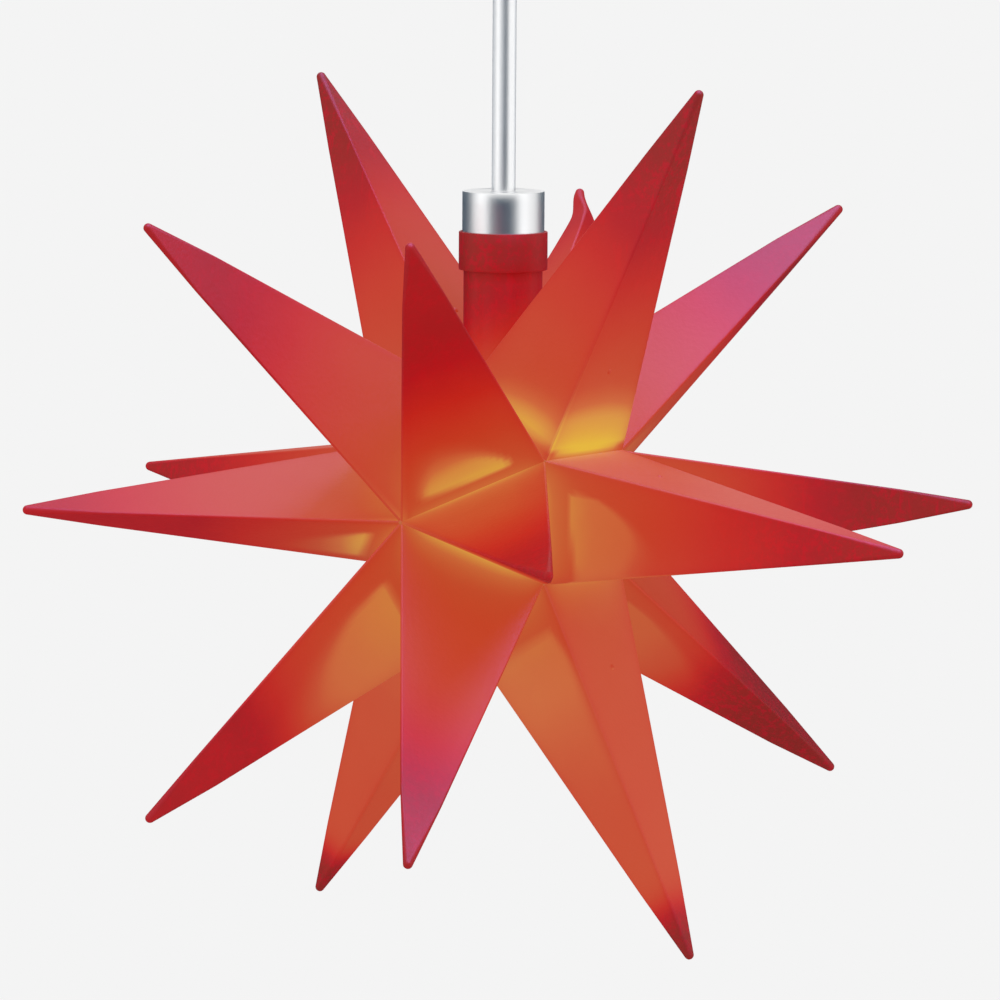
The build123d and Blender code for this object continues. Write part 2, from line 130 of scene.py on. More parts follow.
class Term:
    """A node's output, on which Python's operators add Math and Vector Math nodes."""

    def __init__(self, nodes: Nodes, socket: bpy.types.NodeSocket) -> None:
        """Wraps an output of a tree."""
        self.nodes = nodes
        self.socket = socket

    def _join(self, operation: str, first: Operand, second: Operand) -> Term:
        """Adds the Math or Vector Math node of one operation.

        Args:
            operation: The node's operation.
            first: The first operand.
            second: The second operand.

        Returns:
            The node's result.
        """
        vectors = [_is_vector(operand) for operand in (first, second)]
        if not any(vectors):
            return self.nodes.value("ShaderNodeMath", {"operation": operation}, {0: first, 1: second})
        if operation == "MULTIPLY" and not all(vectors):
            vector, scale = (first, second) if vectors[0] else (second, first)
            return self._vector("SCALE", {0: vector, "Scale": scale})
        if operation == "DIVIDE" and not vectors[1]:
            return self._join("MULTIPLY", first, 1.0 / second)
        return self._vector(operation, {0: first, 1: second})

    def _vector(self, operation: str, sockets: Values, output: str | int = 0) -> Term:
        """A Vector Math node's output."""
        return self.nodes.value("ShaderNodeVectorMath", {"operation": operation}, sockets, output)

    def __add__(self, other: Operand) -> Term:
        """Sum."""
        return self._join("ADD", self, other)

    def __radd__(self, other: Operand) -> Term:
        """Sum, from the right."""
        return self._join("ADD", other, self)

    def __sub__(self, other: Operand) -> Term:
        """Difference."""
        return self._join("SUBTRACT", self, other)

    def __rsub__(self, other: Operand) -> Term:
        """Difference, from the right."""
        return self._join("SUBTRACT", other, self)

    def __mul__(self, other: Operand) -> Term:
        """Product."""
        return self._join("MULTIPLY", self, other)

    def __rmul__(self, other: Operand) -> Term:
        """Product, from the right."""
        return self._join("MULTIPLY", other, self)

    def __truediv__(self, other: Operand) -> Term:
        """Quotient."""
        return self._join("DIVIDE", self, other)

    def __rtruediv__(self, other: Operand) -> Term:
        """Quotient, from the right."""
        return self._join("DIVIDE", other, self)

    def _single(self, operation: str) -> Term:
        """A Math node with one operand."""
        return self.nodes.value("ShaderNodeMath", {"operation": operation}, {0: self})

    def sign(self) -> Term:
        """-1, 0 or 1."""
        return self._single("SIGN")

    def floor(self) -> Term:
        """The whole number below."""
        return self._single("FLOOR")

    def root(self) -> Term:
        """Square root."""
        return self._single("SQRT")

    def least(self, other: Operand) -> Term:
        """The smaller of the two."""
        return self._join("MINIMUM", self, other)

    def clamp(self) -> Term:
        """Held between 0 and 1."""
        return self.nodes.value("ShaderNodeClamp", {}, {"Value": self})

    def ease(self, low: float, high: float) -> Term:
        """A smooth step from 0 at low to 1 at high."""
        sockets = {"Value": self, 1: low, 2: high}
        return self.nodes.value("ShaderNodeMapRange", {"interpolation_type": "SMOOTHSTEP"}, sockets)

    def dot(self, other: Operand) -> Term:
        """Dot product."""
        return self._vector("DOT_PRODUCT", {0: self, 1: other}, "Value")

    def cross(self, other: Operand) -> Term:
        """Cross product."""
        return self._join("CROSS_PRODUCT", self, other)

    def unit(self) -> Term:
        """The vector with length 1."""
        return self._vector("NORMALIZE", {0: self})

    def length(self) -> Term:
        """The vector's length."""
        return self._vector("LENGTH", {0: self}, "Value")

    def toward(self, other: Operand, share: Operand) -> Term:
        """The value so far on the way to another."""
        return self + (other - self) * share


Operand = Union[Term, float, tuple]
Values = Optional[dict[Union[str, int], Any]]


def _is_vector(operand: Operand) -> bool:
    """Whether an operand is a vector."""
    kind = operand.socket.type if isinstance(operand, Term) else ""
    return kind in ("VECTOR", "RGBA") or isinstance(operand, (tuple, Vector))


class Nodes:
    """Adds nodes to one shader or geometry tree."""

    def __init__(self, tree: bpy.types.NodeTree) -> None:
        """Takes the tree that gets the nodes."""
        self.tree = tree

    def add(self, kind: str, settings: Values = None, sockets: Values = None) -> bpy.types.Node:
        """Adds one node.

        Args:
            kind: The node's type.
            settings: Its properties, set first; "stops" are a ramp's and "items" an index switch's count.
            sockets: Values or links of its inputs, by name or place.

        Returns:
            The node.
        """
        node = self.tree.nodes.new(kind)
        for key, setting in (settings or {}).items():
            if key == "stops":
                elements = node.color_ramp.elements
                while len(elements) < len(setting):
                    elements.new(1.0)
                for element, (place, colour) in zip(elements, setting):
                    element.position = place
                    element.color = (*colour, 1.0)
            elif key == "items":
                while len(node.index_switch_items) < setting:
                    node.index_switch_items.new()
            else:
                setattr(node, key, setting)
        for key, given in (sockets or {}).items():
            for item in given if isinstance(given, list) else [given]:
                if isinstance(item, Term):
                    self.tree.links.new(item.socket, node.inputs[key])
                else:
                    node.inputs[key].default_value = item
        return node

    def value(self, kind: str, settings: Values = None, sockets: Values = None, output: str | int = 0) -> Term:
        """The output of a new node at a name or place."""
        return Term(self, self.add(kind, settings, sockets).outputs[output])

    def blend(self, share: Operand, first: Operand, second: Operand) -> Term:
        """Two colours mixed, with a share of the second."""
        colours = [c if isinstance(c, Term) else (*c, 1.0) for c in (first, second)]
        return self.value("ShaderNodeMix", {"data_type": "RGBA"}, {0: share, 6: colours[0], 7: colours[1]}, 2)

    def ramp(self, share: Operand, stops: tuple) -> Term:
        """A colour that follows a value from 0 to 1 through stops of a place and a colour."""
        return self.value("ShaderNodeValToRGB", {"stops": stops}, {0: share})

    def own(self, name: str) -> Term:
        """A number that the mesh carries under a name."""
        return self.value("ShaderNodeAttribute", {"attribute_name": name}, {}, "Fac")

    def place(self, scale: tuple[float, float, float] = (1.0, 1.0, 1.0)) -> Term:
        """Object coordinates, scaled on each axis."""
        spot = self.value("ShaderNodeTexCoord", {}, {}, "Object")
        return self.value("ShaderNodeMapping", {}, {"Vector": spot, "Scale": scale})

    def noise(self, spot: Term, scale: float, detail: float = 2.0, roughness: float = 0.5) -> Term:
        """Noise from 0 to 1, by its waves per metre, its octaves and the weight of the finer ones."""
        sockets = {"Vector": spot, "Scale": scale, "Detail": detail, "Roughness": roughness}
        return self.value("ShaderNodeTexNoise", {}, sockets, 0)

    def bump(self, height: Term, depth: float, strength: float = 1.0) -> Term:
        """The normal of a fine relief from 0 to 1 that is so deep in metres."""
        return self.value("ShaderNodeBump", {}, {"Height": height, "Distance": depth, "Strength": strength})


class Shape:
    """A Geometry Nodes tree with named inputs."""

    SOCKETS = {
        "length": "NodeSocketFloat",
        "count": "NodeSocketInt",
        "vector": "NodeSocketVector",
        "material": "NodeSocketMaterial",
    }

    def __init__(self, name: str, inputs: dict[str, str]) -> None:
        """Starts an empty tree.

        Args:
            name: The tree's name.
            inputs: The kind of each named input.
        """
        self.group = bpy.data.node_groups.new(name, "GeometryNodeTree")
        self.nodes = Nodes(self.group)
        self.group.interface.new_socket("Geometry", in_out="OUTPUT", socket_type="NodeSocketGeometry")
        self.identifiers = {}
        for label, kind in inputs.items():
            socket = self.group.interface.new_socket(label, in_out="INPUT", socket_type=self.SOCKETS[kind])
            self.identifiers[label] = socket.identifier
        self.start = self.group.nodes.new("NodeGroupInput")

    def given(self, label: str) -> Term:
        """The named input."""
        return Term(self.nodes, self.start.outputs[label])

    def end(self, geometry: Term) -> None:
        """Closes the tree with Realize Instances and Set Material on its input Material.

        Args:
            geometry: The finished mesh.
        """
        real = self.nodes.value("GeometryNodeRealizeInstances", {}, {"Geometry": geometry})
        sockets = {"Geometry": real, "Material": self.given("Material")}
        dressed = self.nodes.value("GeometryNodeSetMaterial", {}, sockets)
        self.nodes.add("NodeGroupOutput", {}, {"Geometry": dressed})

    def grow(self, name: str, values: dict[str, Any]) -> bpy.types.Object:
        """Makes a plain mesh object with the tree's shape.

        Args:
            name: The object's name.
            values: The named inputs.

        Returns:
            The object, at the origin, with no modifier left.
        """
        thing = mesh_object(name)
        modifier = thing.modifiers.new("shape", "NODES")
        modifier.node_group = self.group
        for label, value in values.items():
            modifier[self.identifiers[label]] = value
        depsgraph = bpy.context.evaluated_depsgraph_get()
        plain = bpy.data.meshes.new_from_object(
            thing.evaluated_get(depsgraph), preserve_all_data_layers=True, depsgraph=depsgraph
        )
        thing.modifiers.clear()
        thing.data = plain
        plain.name = name
        return thing


@dataclass(frozen=True)
class Finish:
    """A surface's look."""

    name: str

    def paint(self, nodes: Nodes) -> dict[str, Any]:
        """The values and links of the Principled shader's inputs."""
        raise NotImplementedError


def mesh_object(
    name: str, points: Sequence = (), faces: Sequence = (), material: bpy.types.Material | None = None
) -> bpy.types.Object:
    """A mesh in the scene.

    Args:
        name: The name of the object and of its mesh.
        points: The vertices.
        faces: The vertices' places of each face.
        material: The material of all faces.

    Returns:
        The object.
    """
    mesh = bpy.data.meshes.new(name)
    mesh.from_pydata(points, [], faces)
    if material is not None:
        mesh.materials.append(material)
    thing = bpy.data.objects.new(name, mesh)
    bpy.context.scene.collection.objects.link(thing)
    return thing


def fresh_nodes(owner: bpy.types.Material | bpy.types.World) -> Nodes:
    """The emptied tree of a material or world.

    Args:
        owner: The material or world.

    Returns:
        Its tree.
    """
    owner.use_nodes = True
    owner.node_tree.nodes.clear()
    return Nodes(owner.node_tree)


def shaded(colour: tuple, share: float) -> tuple:
    """A colour times a number."""
    return tuple(share * c for c in colour)


@lru_cache(maxsize=None)
def material_of(finish: Finish) -> bpy.types.Material:
    """The one material of a finish.

    Args:
        finish: The look.

    Returns:
        Its material.
    """
    made = bpy.data.materials.new(finish.name)
    nodes = fresh_nodes(made)
    shader = nodes.value("ShaderNodeBsdfPrincipled", {}, finish.paint(nodes))
    nodes.add("ShaderNodeOutputMaterial", {}, {"Surface": shader})
    return made


@dataclass(frozen=True)
class GlowingPlastic(Finish):
    """Frosted red plastic with the lamp's light painted on as glow, from red at the tips to amber at the base.
    """

    red: tuple = (0.305, 0.0120, 0.0080)
    vivid_red: tuple = (0.445, 0.0005, 0.0085)
    # painted light: the crimson that the base colour turns to where the painted glow is half lit
    half_lit_crimson: tuple = (0.350, 0.0005, 0.0130)
    # painted shade: a darker red along the ridges, where the thicker wall lets less of the lamp's light
    # through
    ridge_shade_red: tuple = (0.260, 0.0020, 0.0060)
    half_lit_crimson_share: float = 0.45
    ridge_shade_share: float = 0.15
    ridge_shade_width: float = 0.04
    roughness: float = 0.40
    grain_roughness: float = 0.10
    ridge_roughness: float = 0.06
    index: float = 1.33
    grain_scale: float = 900.0
    grain_depth: float = 0.00005
    cloud_scale: float = 60.0
    cloud_step: tuple = (0.30, 0.58)
    blotch_scale: float = 560.0
    blotch_step: tuple = (0.47, 0.60)
    flow_scale: tuple = (420.0, 420.0, 90.0)
    flow_step: tuple = (0.56, 0.70)
    even_speckle: float = 0.4
    unlit_glow: tuple = (0.10, 0.50)
    half_lit_glow: tuple = (0.08, 0.22, 0.40, 0.55)
    ripple: float = 0.05
    unlit_ripple: float = 0.07
    glow_stops: tuple = (
        (0.00, (0.0, 0.0, 0.0)),
        (0.12, (0.076, 0.0, 0.0)),
        (0.25, (0.168, 0.0, 0.0)),
        (0.38, (0.268, 0.010, 0.001)),
        (0.50, (0.313, 0.031, 0.008)),
        (0.62, (0.333, 0.063, 0.019)),
        (0.75, (0.382, 0.127, 0.034)),
        (0.88, (0.455, 0.269, 0.048)),
        (1.00, (0.535, 0.460, 0.042)),
    )

    def paint(self, nodes: Nodes) -> dict[str, Any]:
        """Mottles the unlit plastic, and paints the mesh's own glow on it as light, with painted shade on the
        ridges.

        Args:
            nodes: The material's tree.

        Returns:
            The shader's inputs.
        """
        spot = nodes.place()
        glow = nodes.own("glow")
        grain = nodes.noise(spot, self.grain_scale, detail=3.0, roughness=0.6)
        cloud = nodes.noise(spot, self.cloud_scale, detail=3.0, roughness=0.5)
        flow = nodes.noise(nodes.place(self.flow_scale), 1.0, detail=3.0, roughness=0.6)
        blotch = nodes.noise(spot, self.blotch_scale, detail=5.0, roughness=0.75)
        unlit = 1 - glow.ease(*self.unlit_glow)
        patchy = blotch.ease(*self.blotch_step) * cloud.ease(*self.cloud_step)
        speckle = (patchy + flow.ease(*self.flow_step)).clamp()
        speckle = (self.even_speckle + (speckle - self.even_speckle) * nodes.own("mottle")) * unlit
        # painted shade along the ridge, where the wall is thicker; the same mask also roughens the ridge
        ridge = 1 - nodes.own("across").ease(0.0, self.ridge_shade_width)
        start, full, end, gone = self.half_lit_glow
        half_lit = glow.ease(start, full) * (1 - glow.ease(end, gone))
        # painted light: the base colour turns crimson where the glow is half lit
        plain = nodes.blend(self.half_lit_crimson_share * half_lit, self.red, self.half_lit_crimson)
        mottled = nodes.blend(speckle, plain, self.vivid_red)
        wavy_glow = glow + (cloud - 0.5) * (self.ripple + self.unlit_ripple * unlit)
        return {
            "Base Color": nodes.blend(self.ridge_shade_share * ridge, mottled, self.ridge_shade_red),
            "Roughness": self.roughness + self.grain_roughness * grain + self.ridge_roughness * ridge,
            "IOR": self.index,
            "Emission Color": nodes.ramp(wavy_glow, self.glow_stops),
            "Emission Strength": 1.0,
            "Normal": nodes.bump(grain, self.grain_depth),
        }


@dataclass(frozen=True)
class TurnedMetal(Finish):
    """Satin metal with fine lines that run round it or along it."""

    colour: tuple = (0.80, 0.81, 0.82)
    roughness: float = 0.22
    lines: tuple = (30.0, 30.0, 5000.0)
    brushed: float = 0.7
    shade: float = 0.97
    line_share: float = 0.7
    line_roughness: float = 0.10
    line_depth: float = 0.00001
    cloud_scale: float = 90.0
    cloud_roughness: float = 0.05

    def paint(self, nodes: Nodes) -> dict[str, Any]:
        """Varies colour and roughness along the lines.

        Args:
            nodes: The material's tree.

        Returns:
            The shader's inputs.
        """
        lines = nodes.noise(nodes.place(self.lines), 1.0, detail=4.0, roughness=0.6)
        cloud = nodes.noise(nodes.place(), self.cloud_scale, detail=2.0, roughness=0.5)
        paler = self.line_share * lines + (1.0 - self.line_share) * cloud
        uneven = self.roughness + self.line_roughness * (lines - 0.5) + self.cloud_roughness * (cloud - 0.5)
        return {
            "Base Color": nodes.blend(paler, shaded(self.colour, self.shade), self.colour),
            "Metallic": 1.0,
            "Anisotropic": self.brushed,
            "Roughness": uneven,
            "Normal": nodes.bump(lines, self.line_depth, strength=0.5),
        }


@dataclass(frozen=True)
class PlatedMetal(Finish):
    """Plated or stamped metal with a faint cloudy grain."""

    colour: tuple = (0.62, 0.63, 0.64)
    roughness: float = 0.36
    shade: float = 0.78
    cloud_scale: float = 420.0
    cloud_roughness: float = 0.16
    fine_scale: float = 3000.0
    fine_depth: float = 0.00001

    def paint(self, nodes: Nodes) -> dict[str, Any]:
        """Varies colour and roughness in small clouds.

        Args:
            nodes: The material's tree.

        Returns:
            The shader's inputs.
        """
        cloud = nodes.noise(nodes.place(), self.cloud_scale, detail=4.0, roughness=0.6)
        fine = nodes.noise(nodes.place(), self.fine_scale, detail=2.0, roughness=0.5)
        return {
            "Base Color": nodes.blend(cloud, shaded(self.colour, self.shade), self.colour),
            "Metallic": 1.0,
            "Roughness": self.roughness + self.cloud_roughness * (cloud - 0.5),
            "Normal": nodes.bump(fine, self.fine_depth, strength=0.6),
        }


@dataclass(frozen=True)
class MouldedPlastic(Finish):
    """Moulded plastic or rubber with a fine grain."""

    colour: tuple = (0.8, 0.8, 0.8)
    roughness: float = 0.45
    gloss: float = 0.4
    shade: float = 0.82
    cloud_scale: float = 140.0
    grain_scale: float = 2200.0
    grain_roughness: float = 0.14
    grain_depth: float = 0.00002

    def paint(self, nodes: Nodes) -> dict[str, Any]:
        """Varies colour and roughness with a cloud and a grain.

        Args:
            nodes: The material's tree.

        Returns:
            The shader's inputs.
        """
        cloud = nodes.noise(nodes.place(), self.cloud_scale, detail=3.0, roughness=0.5)
        grain = nodes.noise(nodes.place(), self.grain_scale, detail=2.0, roughness=0.6)
        return {
            "Base Color": nodes.blend(cloud, shaded(self.colour, self.shade), self.colour),
            "Roughness": self.roughness + self.grain_roughness * (grain - 0.5),
            "Specular IOR Level": self.gloss,
            "Normal": nodes.bump(grain, self.grain_depth),
        }


@dataclass(frozen=True)
class LitPlastic(Finish):
    """Frosted plastic or phosphor that the lamp's chips light: the lamp's own light on its dome and chips, and
    painted glow on the core.
    """

    colour: tuple = (0.9, 0.86, 0.76)
    light: tuple = (1.0, 0.72, 0.36)
    shade: float = 0.9
    dimmed: float = 0.72
    cloud_scale: float = 260.0
    roughness: float = 0.45
    cloud_roughness: float = 0.1

    def paint(self, nodes: Nodes) -> dict[str, Any]:
        """Lights the surface unevenly in a warm white.

        Args:
            nodes: The material's tree.

        Returns:
            The shader's inputs.
        """
        cloud = nodes.noise(nodes.place(), self.cloud_scale, detail=2.0, roughness=0.5)
        return {
            "Base Color": nodes.blend(cloud, shaded(self.colour, self.shade), self.colour),
            "Roughness": self.roughness + self.cloud_roughness * cloud,
            "Emission Color": nodes.blend(cloud, shaded(self.light, self.dimmed), self.light),
            "Emission Strength": 1.0,
        }


class Coat(Enum):
    """The finish of each material slot of the record."""

    star_plastic = GlowingPlastic("frosted_red_plastic")
    # the core is no lamp: its emission is painted glow of the lamp's light inside it
    core_plastic = LitPlastic("lit_core_plastic", (0.40, 0.025, 0.012), (0.28, 0.11, 0.03))
    cap_metal = TurnedMetal("satin_cap_metal", (0.985, 0.99, 0.995), 0.32, (5000.0, 5000.0, 30.0))
    stem_metal = TurnedMetal("satin_stem_metal", (0.985, 0.99, 0.995), 0.36, (5000.0, 5000.0, 25.0))
    canopy_metal = TurnedMetal("satin_canopy_metal", (0.94, 0.945, 0.95), 0.36, (25.0, 25.0, 4500.0))
    zinc_steel = PlatedMetal("zinc_plated_steel", (0.62, 0.63, 0.64), 0.36)
    ring_rubber = MouldedPlastic("dark_ring_rubber", (0.03, 0.03, 0.032), 0.62, 0.3)
    holder_plastic = MouldedPlastic("white_holder_plastic", (0.76, 0.75, 0.72), 0.42, 0.4)
    contact_brass = PlatedMetal("contact_brass", (0.78, 0.57, 0.22), 0.3)
    wire_insulation = MouldedPlastic("clear_grey_insulation", (0.56, 0.57, 0.58), 0.35, 0.5)
    lamp_plastic = MouldedPlastic("lamp_base_plastic", (0.80, 0.79, 0.76), 0.4, 0.4)
    board_white = MouldedPlastic("white_board", (0.82, 0.83, 0.82), 0.5, 0.35)
    light_chip = LitPlastic("yellow_light_chip", (0.55, 0.40, 0.08), (0.50, 0.42, 0.20))
    frosted_dome = LitPlastic("frosted_lamp_dome", (0.52, 0.48, 0.40), (0.50, 0.37, 0.17))

    @property
    def material(self) -> bpy.types.Material:
        """The finish's material."""
        return material_of(self.value)


def take_over(piece: bpy.types.Object, node: str, coat: Coat) -> None:
    """Lets a piece stand for a CAD node, on the node's body.

    Args:
        piece: The new piece.
        node: The node that it replaces.
        coat: The slot that its finish comes from; not used.
    """
    body = frame["nodes"][node]["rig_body"]
    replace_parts(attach(piece, body), node)
    log.info("%s stands for %s on %s, %d faces", piece.name, node, body, len(piece.data.polygons))


def keep_node(node: str, coat: Coat) -> None:
    """Gives a CAD node that stays its finish.

    Args:
        node: The node.
        coat: Its slot.
    """
    thing = frame["nodes"][node]
    for slot in thing.material_slots:
        slot.material = coat.material
    log.info("%s keeps its solid, in %s", node, coat.value.name)


def set_numbers(mesh: bpy.types.Mesh, name: str, values: np.ndarray) -> None:
    """Stores one number for each vertex under a name."""
    mesh.attributes.new(name, "FLOAT", "POINT").data.foreach_set("value", values.astype(np.float32))


def numbers_of(items: bpy.types.bpy_prop_collection, name: str, wide: int) -> np.ndarray:
    """The numbers of a mesh's vertices or of an attribute.

    Args:
        items: The vertices, or the attribute's data.
        name: The property that holds the numbers.
        wide: How many each item has.

    Returns:
        A row for each item.
    """
    flat = np.zeros(wide * len(items), np.float32)
    items.foreach_get(name, flat)
    return flat.reshape(-1, wide).astype(float)


def smooth_step(low: float, high: float, value: np.ndarray) -> np.ndarray:
    """A smooth step from 0 at low to 1 at high."""
    share = np.clip((value - low) / (high - low), 0.0, 1.0)
    return share * share * (3.0 - 2.0 * share)


def revolved(name: str, profile: list[tuple[float, float]], steps: int, coat: Coat) -> bpy.types.Object:
    """A closed profile turned about the Z axis.

    Args:
        name: The piece's name.
        profile: Pairs of radius and height, with the solid on their left.
        steps: Faces round the piece.
        coat: Its finish.

    Returns:
        The object.
    """
    rows = []
    for (radius, height), (next_radius, next_height) in zip(profile, profile[1:] + profile[:1]):
        wide, high = next_radius - radius, next_height - height
        parts = max(1, int(math.hypot(wide, high) / ROW_STEP))
        rows += [(radius + wide * k / parts, height + high * k / parts) for k in range(parts)]
    turns = np.arange(steps) * 2.0 * math.pi / steps
    points = [(r * math.cos(t), r * math.sin(t), z) for r, z in rows for t in turns]
    faces = []
    for i in range(len(rows)):
        below, above = i * steps, ((i + 1) % len(rows)) * steps
        ends = [(k, (k + 1) % steps) for k in range(steps)]
        faces += [(below + k, below + n, above + n, above + k) for k, n in ends]
    thing = mesh_object(name, points, faces, coat.material)
    thing.data.shade_smooth()
    thing.data.set_sharp_from_angle(angle=TURNED_ANGLE)
    return thing


def bevelled(profile: list[tuple[float, float]], edge: float) -> list[tuple[float, float]]:
    """A closed profile with each corner rounded by three points.

    Args:
        profile: Pairs of radius and height.
        edge: Length taken off each side of a corner.

    Returns:
        The rounded profile.
    """
    points = [np.array(point) for point in profile]
    rounded = []
    for before, corner, after in zip(points[-1:] + points[:-1], points, points[1:] + points[:1]):
        sides = [before - corner, after - corner]
        lengths = [np.linalg.norm(side) for side in sides]
        cut = min(edge, MOST_CUT * lengths[0], MOST_CUT * lengths[1])
        first, last = (corner + side / length * cut for side, length in zip(sides, lengths))
        rounded += [tuple(p) for p in (first, 0.25 * first + 0.5 * corner + 0.25 * last, last)]
    return rounded


class Assembly:
    """A sub-assembly, with the finishes of the nodes that keep their solids."""

    COATS: dict[str, Coat] = {}

    def build(self) -> None:
        """Makes the pieces that replace nodes, where there are some."""

    def dress(self) -> None:
        """Gives the nodes that stay their finishes."""
        for node, coat in self.COATS.items():
            keep_node(node, coat)


class Ring(Enum):
    """The three rings of spikes, with the node names' first word."""

    RIM = "rim"
    FRONT = "front"
    BACK = "back"


@dataclass(frozen=True)
class Fade:
    """How the painted glow fades from a spike's base to its tip, with painted light on sides that face up and
    painted shade at the ridges, and how its lit patch stands out.
    """

    base: float
    middle: float
    width: float
    tip: float
    band: float
    patch: float
    patch_start: float
    patch_full: float
    upward_light_gain: float = 0.0
    band_length: float = 0.06
    band_edge_shade: float = 0.6
    ridge_shade_dim: float = 0.07
    ridge_shade_width: float = 0.05
    mottle: float = 1.0

    def level(self, share: np.ndarray, across: np.ndarray, direct: np.ndarray, up: np.ndarray) -> np.ndarray:
        """The glow of points on a side.

        Args:
            share: Their way from the base, at 0, to the tip, at 1.
            across: Their way across the side, 0 to 1.
            direct: The light that falls on them straight from the lamp.
            up: How far they face up, -1 to 1.

        Returns:
            The glow, 0 to 1.
        """
        # painted light from above: the glow reaches further up the sides that face up
        middle = self.middle + self.upward_light_gain * np.clip(up, 0.0, 1.0)
        spread = np.maximum(self.base / (1.0 + np.exp((share - middle) / self.width)), self.tip)
        # painted shade: the bright band at the base dims towards the side's edges
        middle_of_side = 1.0 - self.band_edge_shade * np.abs(2.0 * across - 1.0) ** 3
        spread += self.band * np.exp(-share / self.band_length) * middle_of_side
        # painted shade: the glow dims towards the ridges
        spread *= 1.0 - self.ridge_shade_dim * np.exp(-np.minimum(across, 1.0 - across) / self.ridge_shade_width)
        # painted pool of light where the lamp shines straight through the window
        patch = self.patch * smooth_step(self.patch_start, self.patch_full, direct)
        return np.clip(spread + patch, 0.0, 1.0)


# Base, middle, width, tip, band, patch, patch start, patch full and upward light gain (painted light on sides
# that face up) of the painted glow, of a kind of spike or of one
FADES = {
    "upper rim": Fade(0.55, 0.58, 0.117, 0.0, 0.24, 0.32, -0.05, 0.60, 0.25),
    "rim 1": Fade(0.55, 0.58, 0.117, 0.0, 0.24, 0.32, -0.05, 0.45, 0.25),
    "rim 7": Fade(0.585, 0.882, 0.025, 0.02, 0.20, 0.05, 0.02, 0.10),
    "level rim": Fade(0.66, 0.60, 0.22, 0.15, 0.20, 0.15, 0.10, 0.16, 0.40),
    "lower rim": Fade(0.607, 0.882, 0.025, 0.02, 0.20, 0.14, 0.02, 0.10),
    "upper front": Fade(0.62, 0.46, 0.16, 0.17, 0.16, 0.27, 0.10, 0.65, 0.50, mottle=0.35),
    "front 3": Fade(0.72, 0.62, 0.25, 0.18, 0.20, 0.05, 0.12, 0.55, mottle=0.8),
    "front 9": Fade(0.62, 0.48, 0.19, 0.26, 0.18, 0.30, 0.12, 0.55, 0.40, mottle=0.35),
    "lower front": Fade(0.56, 0.60, 0.085, 0.20, 0.24, 0.21, 0.01, 0.07, 0.15, mottle=0.5),
    "front 5": Fade(0.56, 0.60, 0.085, 0.13, 0.34, 0.21, 0.01, 0.07, 0.15, mottle=0.5),
    "upper back": Fade(0.58, 0.58, 0.13, 0.12, 0.16, 0.06, 0.10, 0.40, mottle=0.25),
    "back 11": Fade(0.58, 0.85, 0.13, 0.28, 0.16, 0.06, 0.10, 0.40, mottle=0.25),
    "level back": Fade(0.62, 0.50, 0.13, 0.10, 0.08, 0.14, 0.05, 0.20),
    "lower back": Fade(0.56, 0.470, 0.066, 0.0, 0.20, 0.11, 0.01, 0.05),
}


@dataclass
class Lamp(Assembly):
    """The plug-in lamp, whose light inside the star is worked out here to paint the star's glow."""

    COATS = {
        "lamp_base": Coat.lamp_plastic,
        "lamp_dome": Coat.frosted_dome,
        "lamp_pins": Coat.zinc_steel,
        "led_board": Coat.board_white,
        "led_chips": Coat.light_chip,
    }
    heights: int = 9
    rows: int = 8
    source_share: float = 0.84
    edge_blur: float = 0.9 * MM
    rise_fade: float = 16.0
    most_down: float = 1.5
    gain: float = 1000.0

    def sources(self) -> np.ndarray:
        """The lamp's light as points on the dome's round wall, beside the board.

        Returns:
            The points as rows.
        """
        low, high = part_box("led_board")
        levels = np.linspace(low.z, high.z, self.heights + 2)[1:-1]
        turns = np.arange(self.rows) * 2.0 * math.pi / self.rows
        radius = self.source_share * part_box("lamp_dome")[1].x
        return np.array([(radius * math.cos(t), radius * math.sin(t), z) for z in levels for t in turns])

    def through(self, window: np.ndarray, points: np.ndarray, normals: np.ndarray) -> np.ndarray:
        """Light that falls on points straight from the lamp through a window, for the painted glow.

        Args:
            window: The window's corners in order.
            points: The lit points.
            normals: Their outward normals.

        Returns:
            The light at each point, about 1 where it is strongest.
        """
        sources = self.sources()
        middle = window.mean(0)
        total = np.zeros(len(points))
        for source in sources:
            ray = points - source
            distance = np.linalg.norm(ray, axis=1)
            open_share = np.ones(len(points))
            for first, second in zip(window, np.roll(window, -1, axis=0)):
                plane = np.cross(first - source, second - source)
                plane /= np.linalg.norm(plane)
                plane *= math.copysign(1.0, plane @ (middle - source))
                open_share *= smooth_step(-self.edge_blur, self.edge_blur, ray @ plane)
            facing = np.clip((ray * normals).sum(1) / distance, 0.0, 1.0)
            # painted shadow of the neck's tube: light that rises fades, light that falls is stronger
            rise = np.degrees(np.arcsin(ray[:, 2] / distance))
            down = np.minimum(np.exp(-rise / self.rise_fade), self.most_down)
            total += open_share * facing * down / (distance / MM) ** 2
        return self.gain * total / len(sources)


